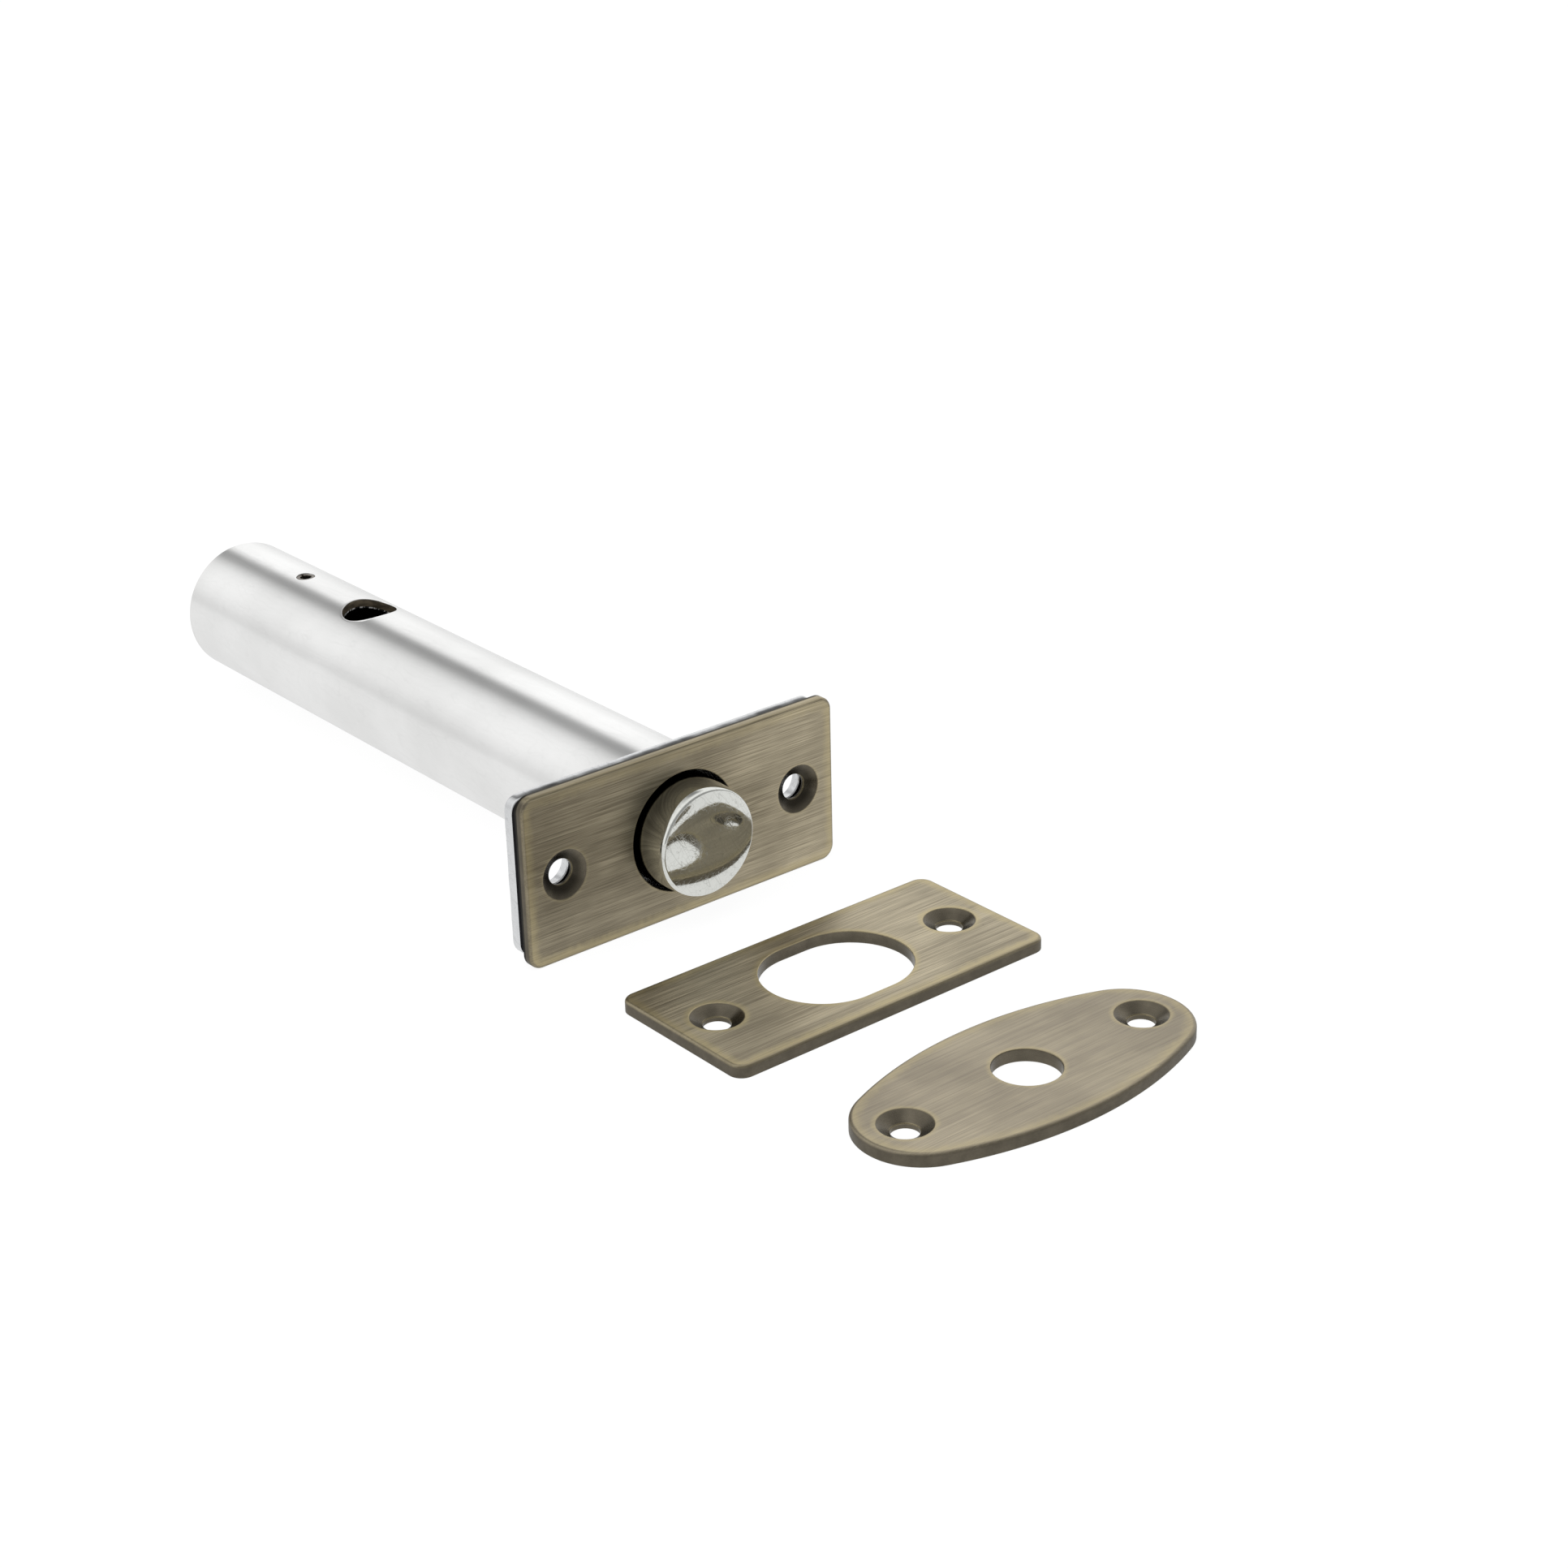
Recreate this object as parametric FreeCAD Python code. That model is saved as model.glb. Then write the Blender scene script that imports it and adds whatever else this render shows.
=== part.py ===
import FreeCAD, Part
import math
import os

# Axes: the bolt runs along Y and its nose points to -Y, the plate's long side runs along X, Z is up.
# The origin is on the bolt's axis, in the front surface of the face plate.

# Face plate and the two loose plates
plate_length = 54.0
plate_height = 25.5
plate_corner_radius = 2.1
face_plate_thickness = 1.6
plate_edge_round = 0.45
screw_end_distance = 6.5
screw_hole_radius = 1.9
countersink_radius = 3.7
countersink_depth = 1.15
hole_rim_round = 0.15
face_hole_clearance = 0.6

# Pad between the face plate and the casting
pad_thickness = 1.2
pad_inset = 0.1
pad_hole_margin = 0.5

# Zinc casting with its spigot
back_plate_length = 53.4
back_plate_thickness = 2.0
back_plate_height = 23.8
back_plate_edge_round = 0.5
back_hole_margin = 0.5
tube_boss_height = 0.4
tube_boss_margin = 0.1
spigot_length = 9.0
spigot_mouth_chamfer = 0.5

# Barrel tube
barrel_end = 120.0
barrel_radius = 10.7
barrel_wall = 1.5
barrel_rim_chamfer = 0.3
key_hole_station = 80.0
key_hole_radius = 4.25

# Bolt
nose_radius = 8.3
nose_tip_radius = 8.0
nose_reach = 5.7
nose_crown = 0.2
nose_edge_round = 0.45
throw_out = 8.0
running_clearance = 0.08
stop_clearance = 0.3
shoulder_chamfer = 0.4
key_slot_side_clearance = 0.05
guide_side_clearance = 0.3
rack_pitch = 2.7
rack_tooth_depth = 1.7
rack_tip_width = 0.7
rack_base_width = 1.9
rack_mouth_depth = 1.2

# Hollow guide pin across the barrel
pin_end_distance = 21.0
pin_radius = 1.45
pin_bore_radius = 0.9
pin_slit_width = 0.5
pin_sunk = 0.15
pin_hole_clearance = 0.03

# Plug in the rear end of the tube
plug_thickness = 2.6
plug_recess = 0.4
plug_chamfer = 0.4
seat_clearance = 0.04

# Detent in the bolt
detent_station = 46.0
detent_ball_radius = 2.0
detent_wall_clearance = 0.1
detent_pocket_clearance = 0.1
detent_spring_length = 6.4
detent_wire_radius = 0.25
detent_spring_pitch = 1.05

# Keep plate
keep_thickness = 1.85
keep_opening_radius = 8.9
keep_opening_straight = 4.4
keep_centre_x = 2.7
keep_centre_y = -29.0

# Escutcheon
escutcheon_length = 53.5
escutcheon_height = 25.0
escutcheon_end_radius = 9.0
escutcheon_thickness = 1.9
escutcheon_edge_round = 0.5
escutcheon_hole_radius = 4.6
escutcheon_centre_x = 3.0
escutcheon_centre_y = -65.5

# Sizes that follow from the ones above
screw_spacing = plate_length - 2 * screw_end_distance
face_hole_radius = nose_radius + face_hole_clearance
barrel_bore_radius = barrel_radius - barrel_wall
pad_front = face_plate_thickness
casting_front = pad_front + pad_thickness
casting_back = casting_front + back_plate_thickness
tube_start = casting_back + tube_boss_height
spigot_end = casting_back + spigot_length
plug_front = barrel_end - plug_recess - plug_thickness
pin_station = barrel_end - pin_end_distance
throw_in = nose_reach
shank_radius = barrel_bore_radius - running_clearance
shoulder_front = spigot_end + throw_out + stop_clearance
bolt_tail = plug_front - throw_in - stop_clearance
key_slot_radius = key_hole_radius + key_slot_side_clearance
key_slot_front = key_hole_station - throw_in
key_slot_back = key_hole_station + throw_out
guide_slot_radius = pin_radius + guide_side_clearance
guide_slot_back = pin_station + throw_out
floor_level = -plate_height / 2

X_AXIS = FreeCAD.Vector(1, 0, 0)
Y_AXIS = FreeCAD.Vector(0, 1, 0)
Z_AXIS = FreeCAD.Vector(0, 0, 1)
OVERRUN = 1.0
TOUCH = 1e-6


def point(x, y, z=0.0):
    return FreeCAD.Vector(x, y, z)


def corner_arc(centre_x, centre_y, radius, start, stop):
    """Arc of a circle in the XY plane, between two angles in degrees."""
    angles = [math.radians(start + (stop - start) * part / 2) for part in range(3)]
    places = [point(centre_x + radius * math.cos(a), centre_y + radius * math.sin(a)) for a in angles]
    return Part.Arc(*places).toShape()


def rounded_rectangle(length, height, radius):
    """Face in the XY plane, centred, with four round corners."""
    half_x = length / 2 - radius
    half_y = height / 2 - radius
    edges = []
    for side_x, side_y, start in ((1, 1, 0), (-1, 1, 90), (-1, -1, 180), (1, -1, 270)):
        edges.append(corner_arc(side_x * half_x, side_y * half_y, radius, start, start + 90))
    outer_x = length / 2
    outer_y = height / 2
    edges.append(Part.makeLine(point(half_x, outer_y), point(-half_x, outer_y)))
    edges.append(Part.makeLine(point(-outer_x, half_y), point(-outer_x, -half_y)))
    edges.append(Part.makeLine(point(-half_x, -outer_y), point(half_x, -outer_y)))
    edges.append(Part.makeLine(point(outer_x, -half_y), point(outer_x, half_y)))
    return Part.Face(Part.Wire(Part.__sortEdges__(edges)))


def obround(start_y, stop_y, radius, centre_x=0.0):
    """Face in the XY plane: two half circles joined by straight sides along Y."""
    left = centre_x - radius
    right = centre_x + radius
    edges = [
        corner_arc(centre_x, stop_y, radius, 0, 180),
        Part.makeLine(point(left, stop_y), point(left, start_y)),
        corner_arc(centre_x, start_y, radius, 180, 360),
        Part.makeLine(point(right, start_y), point(right, stop_y)),
    ]
    return Part.Face(Part.Wire(edges))


def four_arc_oval(length, height, end_radius):
    """Face in the XY plane: two small end arcs and two large side arcs that meet tangentially."""
    reach = length / 2 - end_radius
    rise = height / 2
    side_radius = (reach ** 2 + rise ** 2 - end_radius ** 2) / (2 * (rise - end_radius))
    centre_drop = side_radius - rise
    turn = math.degrees(math.atan2(reach, centre_drop))
    edges = [
        corner_arc(0, -centre_drop, side_radius, 90 - turn, 90 + turn),
        corner_arc(-reach, 0, end_radius, 90 + turn, 270 - turn),
        corner_arc(0, centre_drop, side_radius, 270 - turn, 270 + turn),
        corner_arc(reach, 0, end_radius, -90 + turn, 90 - turn),
    ]
    return Part.Face(Part.Wire(edges))


def round_top_edges(solid, level, radius):
    """Rounds every outer edge of a flat plate that lies at one height."""
    top = []
    for edge in solid.Edges:
        box = edge.BoundBox
        if abs(box.ZMin - level) < TOUCH and abs(box.ZMax - level) < TOUCH:
            top.append(edge)
    return solid.makeFillet(radius, top)


def level_rims(solid, low, high):
    """Edges of a turned piece that lie square to Y, between two stations."""
    rims = []
    for edge in solid.Edges:
        box = edge.BoundBox
        if box.YMax - box.YMin < TOUCH and low - TOUCH < box.YMin < high + TOUCH:
            rims.append(edge)
    return rims


def countersink_cutter(thickness):
    """Solid that cuts a countersunk screw hole, with the wide end at the plate's top."""
    profile = Part.makePolygon([
        point(0, 0, -OVERRUN),
        point(screw_hole_radius, 0, -OVERRUN),
        point(screw_hole_radius, 0, thickness - countersink_depth),
        point(countersink_radius, 0, thickness),
        point(countersink_radius, 0, thickness + OVERRUN),
        point(0, 0, thickness + OVERRUN),
        point(0, 0, -OVERRUN),
    ])
    return Part.Face(profile).revolve(point(0, 0, 0), Z_AXIS, 360)


def cut_at_screws(plate, cutter):
    """Cuts the same shape at both screws, which stand on the plate's long axis."""
    for side in (-1, 1):
        placed = cutter.copy()
        placed.translate(point(side * screw_spacing / 2, 0))
        plate = plate.cut(placed)
    return plate


def rounded_bore_cutter(thickness, radius, rim_round):
    """Solid that cuts a round hole whose top rim is rounded over."""
    flare = radius + rim_round
    bend = thickness - rim_round
    half_way = rim_round * math.sin(math.pi / 4)
    lip = Part.Arc(
        point(radius, 0, bend),
        point(flare - half_way, 0, bend + half_way),
        point(flare, 0, thickness),
    ).toShape()
    walls = Part.makePolygon([
        point(flare, 0, thickness),
        point(flare, 0, thickness + OVERRUN),
        point(0, 0, thickness + OVERRUN),
        point(0, 0, -OVERRUN),
        point(radius, 0, -OVERRUN),
        point(radius, 0, bend),
    ])
    outline = Part.Wire([lip] + walls.Edges)
    return Part.Face(outline).revolve(point(0, 0, 0), Z_AXIS, 360)


def stand_in_door_edge(plate, back):
    """Turns a plate that was drawn lying so that its top faces -Y, with its underside at the given Y."""
    standing = plate.copy()
    standing.rotate(point(0, 0, 0), X_AXIS, 90)
    standing.translate(point(0, back))
    return standing


def face_plate():
    plate = rounded_rectangle(plate_length, plate_height, plate_corner_radius)
    plate = plate.extrude(Z_AXIS * face_plate_thickness)
    plate = round_top_edges(plate, face_plate_thickness, plate_edge_round)
    plate = plate.cut(rounded_bore_cutter(face_plate_thickness, face_hole_radius, hole_rim_round))
    plate = cut_at_screws(plate, countersink_cutter(face_plate_thickness))
    return stand_in_door_edge(plate, face_plate_thickness)


def face_pad():
    length = back_plate_length - 2 * pad_inset
    height = back_plate_height - 2 * pad_inset
    pad = rounded_rectangle(length, height, plate_corner_radius).extrude(Z_AXIS * pad_thickness)
    pad = pad.cut(Part.makeCylinder(face_hole_radius + pad_hole_margin, pad_thickness))
    pad = cut_at_screws(pad, Part.makeCylinder(countersink_radius + pad_hole_margin, pad_thickness))
    return stand_in_door_edge(pad, casting_front)


def back_plate():
    plate = rounded_rectangle(back_plate_length, back_plate_height, plate_corner_radius)
    plate = plate.extrude(Z_AXIS * back_plate_thickness)
    flat_edges = [e for e in plate.Edges if e.BoundBox.ZMax - e.BoundBox.ZMin < TOUCH]
    plate = plate.makeFillet(back_plate_edge_round, flat_edges)
    screw_clearance = Part.makeCylinder(screw_hole_radius + back_hole_margin, back_plate_thickness)
    plate = cut_at_screws(plate, screw_clearance)
    plate = stand_in_door_edge(plate, casting_back)
    middle = point(0, (casting_front + casting_back) / 2)
    boss = Part.makeCylinder(barrel_radius + tube_boss_margin, tube_start - middle.y, middle, Y_AXIS)
    spigot_radius = barrel_bore_radius - seat_clearance
    spigot = Part.makeCylinder(spigot_radius, spigot_end - middle.y, middle, Y_AXIS)
    front = point(0, casting_front)
    bore_radius = nose_radius + running_clearance
    mouth_radius = bore_radius + spigot_mouth_chamfer
    bore = Part.makeCylinder(bore_radius, spigot_end - casting_front, front, Y_AXIS)
    mouth = Part.makeCone(mouth_radius, bore_radius, spigot_mouth_chamfer, front, Y_AXIS)
    return plate.fuse(boss).fuse(spigot).cut(bore).cut(mouth).removeSplitter()


def barrel():
    length = barrel_end - tube_start
    reach = barrel_radius + OVERRUN
    start = point(0, tube_start)
    tube = Part.makeCylinder(barrel_radius, length, start, Y_AXIS)
    tube = tube.makeChamfer(barrel_rim_chamfer, level_rims(tube, barrel_end, barrel_end))
    bore = Part.makeCylinder(barrel_bore_radius, length, start, Y_AXIS)
    key_hole = Part.makeCylinder(key_hole_radius, reach, point(0, key_hole_station), Z_AXIS)
    pin_foot = point(0, pin_station, -reach)
    pin_hole = Part.makeCylinder(pin_radius + pin_hole_clearance, 2 * reach, pin_foot, Z_AXIS)
    return tube.cut(bore).cut(key_hole).cut(pin_hole)


def bolt_bar():
    """Turned bar: crowned nose that tapers to its edge, neck, shoulder and the thicker shank."""
    nose_y = -nose_reach
    flank = nose_tip_radius - nose_edge_round
    edge_start = nose_y + nose_crown
    crown = Part.Arc(
        point(0, nose_y),
        point(flank / 2, nose_y + nose_crown / 4),
        point(flank, edge_start),
    ).toShape()
    half_way = nose_edge_round * math.sin(math.pi / 4)
    edge = Part.Arc(
        point(flank, edge_start),
        point(flank + half_way, edge_start + nose_edge_round - half_way),
        point(nose_tip_radius, edge_start + nose_edge_round),
    ).toShape()
    sides = Part.makePolygon([
        point(nose_tip_radius, edge_start + nose_edge_round),
        point(nose_radius, 0),
        point(nose_radius, shoulder_front),
        point(shank_radius - shoulder_chamfer, shoulder_front),
        point(shank_radius, shoulder_front + shoulder_chamfer),
        point(shank_radius, bolt_tail - shoulder_chamfer),
        point(shank_radius - shoulder_chamfer, bolt_tail),
        point(0, bolt_tail),
        point(0, nose_y),
    ])
    outline = Part.Wire([crown, edge] + sides.Edges)
    return Part.Face(outline).revolve(point(0, 0), Y_AXIS, 360)


def rack_teeth():
    """Teeth on one wall of the key slot, each a prism along Z that ends below the bolt's surface."""
    root = key_slot_radius
    tip = key_slot_radius - rack_tooth_depth
    half_base = rack_base_width / 2
    half_tip = rack_tip_width / 2
    reach = shank_radius - rack_mouth_depth
    count = int((key_slot_back - key_slot_front) / rack_pitch + 0.5)
    middle = (key_slot_front + key_slot_back) / 2
    teeth = []
    for number in range(count):
        centre = middle + (number - (count - 1) / 2) * rack_pitch
        outline = Part.makePolygon([
            point(root, centre - half_base, -reach),
            point(tip, centre - half_tip, -reach),
            point(tip, centre + half_tip, -reach),
            point(root, centre + half_base, -reach),
            point(root, centre - half_base, -reach),
        ])
        teeth.append(Part.Face(outline).extrude(Z_AXIS * 2 * reach))
    return teeth


def through_slot(start_y, stop_y, radius):
    """Prism that cuts a slot right through the bolt along Z."""
    outline = obround(start_y, stop_y, radius)
    outline.translate(point(0, 0, -barrel_radius))
    return outline.extrude(Z_AXIS * 2 * barrel_radius)


def detent_depth():
    """Distance from the axis to the centre of the detent ball."""
    return barrel_bore_radius - detent_wall_clearance - detent_ball_radius


def detent_spring_seat():
    """Distance from the axis to the spring's centre line where it sits on the ball."""
    touch = detent_ball_radius + detent_wire_radius + detent_wall_clearance / 4
    rise = math.sqrt(touch ** 2 - detent_coil_radius() ** 2)
    return detent_depth() - rise


def detent_coil_radius():
    return detent_ball_radius - detent_wire_radius - detent_pocket_clearance


def bolt():
    key_slot = through_slot(key_slot_front, key_slot_back, key_slot_radius)
    for tooth in rack_teeth():
        key_slot = key_slot.cut(tooth)
    guide_slot = through_slot(key_slot_back, guide_slot_back, guide_slot_radius)
    pocket_end = detent_spring_seat() - detent_spring_length - detent_wire_radius
    pocket_radius = detent_ball_radius + detent_pocket_clearance
    pocket_mouth = point(0, detent_station, -barrel_radius)
    pocket = Part.makeCylinder(pocket_radius, barrel_radius - pocket_end, pocket_mouth, Z_AXIS)
    return bolt_bar().cut(key_slot).cut(guide_slot).cut(pocket)


def guide_pin():
    """Rolled spring pin with its slit, standing across the barrel."""
    half = barrel_radius - pin_sunk
    foot = point(0, pin_station, -half)
    pin = Part.makeCylinder(pin_radius, 2 * half, foot, Z_AXIS)
    pin = pin.cut(Part.makeCylinder(pin_bore_radius, 2 * half, foot, Z_AXIS))
    slit = Part.makeBox(pin_slit_width, pin_radius, 2 * half, foot - X_AXIS * (pin_slit_width / 2))
    return pin.cut(slit)


def end_plug():
    plug_radius = barrel_bore_radius - seat_clearance
    plug = Part.makeCylinder(plug_radius, plug_thickness, point(0, plug_front), Y_AXIS)
    return plug.makeChamfer(plug_chamfer, level_rims(plug, plug_front, plug_front + plug_thickness))


def detent_ball():
    return Part.makeSphere(detent_ball_radius, point(0, detent_station, -detent_depth()))


def detent_spring():
    """Helical wire between the ball and the bottom of its pocket."""
    coil_radius = detent_coil_radius()
    helix = Part.makeHelix(detent_spring_pitch, detent_spring_length, coil_radius)
    profile = Part.Wire(Part.makeCircle(detent_wire_radius, point(coil_radius, 0), Y_AXIS))
    spring = Part.Wire(helix.Edges).makePipeShell([profile], True, True)
    spring.translate(point(0, detent_station, -detent_spring_seat()))
    return spring


def keep_plate():
    plate = rounded_rectangle(plate_length, plate_height, plate_corner_radius)
    plate = plate.extrude(Z_AXIS * keep_thickness)
    plate = round_top_edges(plate, keep_thickness, plate_edge_round)
    half = keep_opening_straight / 2
    opening = obround(-half, half, keep_opening_radius)
    opening.rotate(point(0, 0), Z_AXIS, 90)
    plate = plate.cut(opening.extrude(Z_AXIS * keep_thickness))
    plate = cut_at_screws(plate, countersink_cutter(keep_thickness))
    plate.translate(point(keep_centre_x, keep_centre_y, floor_level))
    return plate


def escutcheon():
    plate = four_arc_oval(escutcheon_length, escutcheon_height, escutcheon_end_radius)
    plate = plate.extrude(Z_AXIS * escutcheon_thickness)
    plate = round_top_edges(plate, escutcheon_thickness, escutcheon_edge_round)
    plate = plate.cut(rounded_bore_cutter(escutcheon_thickness, escutcheon_hole_radius, hole_rim_round))
    plate = cut_at_screws(plate, countersink_cutter(escutcheon_thickness))
    plate.translate(point(escutcheon_centre_x, escutcheon_centre_y, floor_level))
    return plate


pieces = {
    "face_plate": face_plate,
    "face_pad": face_pad,
    "back_plate": back_plate,
    "barrel": barrel,
    "bolt": bolt,
    "guide_pin": guide_pin,
    "end_plug": end_plug,
    "detent_ball": detent_ball,
    "detent_spring": detent_spring,
    "keep_plate": keep_plate,
    "escutcheon": escutcheon,
}

os.makedirs("parts", exist_ok=True)
for node, make in pieces.items():
    shape = make()
    shape.exportStep("parts/" + node + ".step")
    print(node, "valid", shape.isValid(), "solids", len(shape.Solids), "volume", round(shape.Volume, 2))
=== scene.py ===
"""Rack bolt with its keep plate and escutcheon: finished surfaces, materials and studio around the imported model."""

import math

import bmesh
import bpy
import numpy as np
from bpy.props import FloatProperty, FloatVectorProperty, PointerProperty
from mathutils import Matrix, Vector


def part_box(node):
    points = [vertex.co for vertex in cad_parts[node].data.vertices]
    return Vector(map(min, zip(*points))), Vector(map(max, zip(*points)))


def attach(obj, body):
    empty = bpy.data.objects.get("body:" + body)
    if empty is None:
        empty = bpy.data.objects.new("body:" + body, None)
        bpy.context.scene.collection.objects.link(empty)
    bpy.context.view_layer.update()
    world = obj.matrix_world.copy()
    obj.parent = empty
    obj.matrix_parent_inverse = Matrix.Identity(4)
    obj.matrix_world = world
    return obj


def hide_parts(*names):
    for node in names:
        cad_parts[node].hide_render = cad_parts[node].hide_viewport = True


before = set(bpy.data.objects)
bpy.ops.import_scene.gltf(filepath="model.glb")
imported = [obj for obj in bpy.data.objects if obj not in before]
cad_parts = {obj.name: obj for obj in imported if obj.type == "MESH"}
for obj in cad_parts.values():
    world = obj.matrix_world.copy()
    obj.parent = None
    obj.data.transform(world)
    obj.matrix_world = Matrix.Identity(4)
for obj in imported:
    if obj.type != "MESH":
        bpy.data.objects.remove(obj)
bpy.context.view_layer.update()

bl_info = {
    "name": "Rack Bolt",
    "version": (1, 0, 0),
    "blender": (4, 5, 0),
    "location": "3D View > Sidebar > Rack Bolt",
    "description": "Builds the finished rack bolt, its keep plate and its escutcheon around the packed model",
    "category": "Object",
}

FACE_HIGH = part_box("face_plate")[1]
KEEP_LOW, KEEP_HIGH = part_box("keep_plate")
OVAL_LOW, OVAL_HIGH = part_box("escutcheon")
TUBE_LOW, TUBE_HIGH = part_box("barrel")
FACE_TOP = FACE_HIGH.z - 0.0002

QUARTER = math.pi / 2
MM_PER_M = 1000

# Marks for the materials: millimetres from a plate's outline or a hole's rim, below zero on the walls past them
FAR = 99.0
UNDERSIDE = -9.0

# Points nearer than WELD are one point; an edge that turns by more than SHARP is sharp
WELD = 4e-7
SHARP = math.radians(32)

# Steps round the outlines of the plates, across a plate between its holes, and from a hole's rim to its cell's border
END_STEPS, CORNER_STEPS, SIDE_STEPS, MIDDLE_STEPS = 28, 14, 16, 40
OVAL_END_STEPS, OVAL_SIDE_STEPS = 44, 18
DIVIDER_STEPS = 28
FACE_ROWS = 15
WALL_STEP, CONE_STEP = 0.0005, 0.0004

# How far the countersink's profile is drawn past its two ends before the corners are broken
CONE_LEAD, CONE_RUN_OUT = 0.0012, 0.0008

# The most of a profile's side that a softened corner takes
MOST_SOFTENED = 0.45


# Sizes and colours

def length(name, description, default):
    """Setting for a length in metres."""
    return FloatProperty(name=name, description=description, default=default, unit="LENGTH", subtype="DISTANCE",
                         precision=5)


def colour(name, description, default):
    """Setting for a colour."""
    return FloatVectorProperty(name=name, description=description, default=default, subtype="COLOR", size=3,
                               min=0.0, max=1.0)


class RackBoltPlateSizes(bpy.types.PropertyGroup):
    """Sizes that the face plate, the keep plate and the escutcheon share or own"""
    plate_length: length("Plate length", "Long side of the face plate and keep plate", 0.054)
    plate_height: length("Plate height", "Short side of the face plate and keep plate", 0.0255)
    corner_radius: length("Corner radius", "Round corners of the face plate and keep plate", 0.0021)
    edge_round: length("Edge round", "Rounding of the upper edge of both plates", 0.00045)
    face_thickness: length("Face plate thickness", "Thickness of the face plate", 0.0016)
    keep_thickness: length("Keep thickness", "Thickness of the keep plate", 0.00185)
    screw_spacing: length("Screw spacing", "Distance between the two screws of a plate", 0.041)
    screw_radius: length("Screw hole radius", "Straight part of the screw holes", 0.0019)
    sink_radius: length("Countersink radius", "Wide end of the countersinks", 0.0037)
    sink_depth: length("Countersink depth", "Depth of the countersinks", 0.00115)
    face_hole_radius: length("Face hole radius", "Hole for the bolt in the face plate", 0.0089)
    rim_round: length("Rim round", "Rounding of the punched holes' upper rim", 0.00015)
    keep_hole_radius: length("Keep opening radius", "Round ends of the keep plate's opening", 0.0089)
    keep_hole_straight: length("Keep opening straight", "Straight middle of the keep plate's opening", 0.0044)
    oval_length: length("Escutcheon length", "Long axis of the escutcheon", 0.0535)
    oval_height: length("Escutcheon height", "Short axis of the escutcheon", 0.025)
    oval_end_radius: length("Escutcheon end radius", "Radius of the two narrow ends", 0.009)
    oval_thickness: length("Escutcheon thickness", "Thickness of the escutcheon", 0.0019)
    oval_edge_round: length("Escutcheon edge round", "Rounding of the escutcheon's upper edge", 0.0005)
    oval_hole_radius: length("Escutcheon hole radius", "Key hole in the escutcheon", 0.0046)
    burr: length("Edge break", "Small break on the edges that look sharp", 0.00007)


class RackBoltCaseSizes(bpy.types.PropertyGroup):
    """Sizes of the casting and the barrel"""
    casting_front: length("Casting front", "Station of the casting's front behind the pad", 0.0028)
    casting_thickness: length("Casting thickness", "Thickness of the casting's plate", 0.002)
    casting_length: length("Casting length", "Long side of the casting", 0.0534)
    casting_height: length("Casting height", "Short side of the casting", 0.0238)
    casting_edge_round: length("Casting edge round", "Rounding of the casting's edges", 0.0005)
    casting_screw_radius: length("Casting screw radius", "Screw clearance in the casting", 0.0024)
    casting_draft: length("Casting draft", "How much wider the screw holes are at the casting's back", 0.0005)
    casting_wander: length("Casting wander", "How far the cast edge wanders inwards", 0.00016)
    spigot_length: length("Spigot length", "Spigot that the tube sits on", 0.009)
    spigot_radius: length("Spigot radius", "Outside of the spigot", 0.00916)
    spigot_bore: length("Spigot bore", "Bore that guides the bolt's neck", 0.00838)
    boss_radius: length("Boss radius", "Low boss behind the plate that the tube butts against", 0.0108)
    boss_height: length("Boss height", "Height of that boss", 0.0004)
    tube_radius: length("Tube radius", "Outside of the barrel tube", 0.0107)
    tube_wall: length("Tube wall", "Wall of the barrel tube", 0.0015)
    tube_rim: length("Tube rim", "Chamfer at the tube's rear rim", 0.0003)
    key_station: length("Key station", "Key hole behind the plate's front", 0.080)
    key_radius: length("Key hole radius", "Key hole in the tube", 0.00425)
    pin_station: length("Pin station", "Guide pin behind the plate's front", 0.099)
    pin_hole_radius: length("Pin hole radius", "Holes for the guide pin", 0.00148)
    pin_radius: length("Pin radius", "Outside of the rolled guide pin", 0.00145)
    pin_bore: length("Pin bore", "Inside of the rolled guide pin", 0.0009)
    pin_slit: length("Pin slit", "Slit of the rolled guide pin", 0.0005)
    pin_sunk: length("Pin sunk", "How far the pin's ends lie below the tube's skin", 0.00015)


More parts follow.
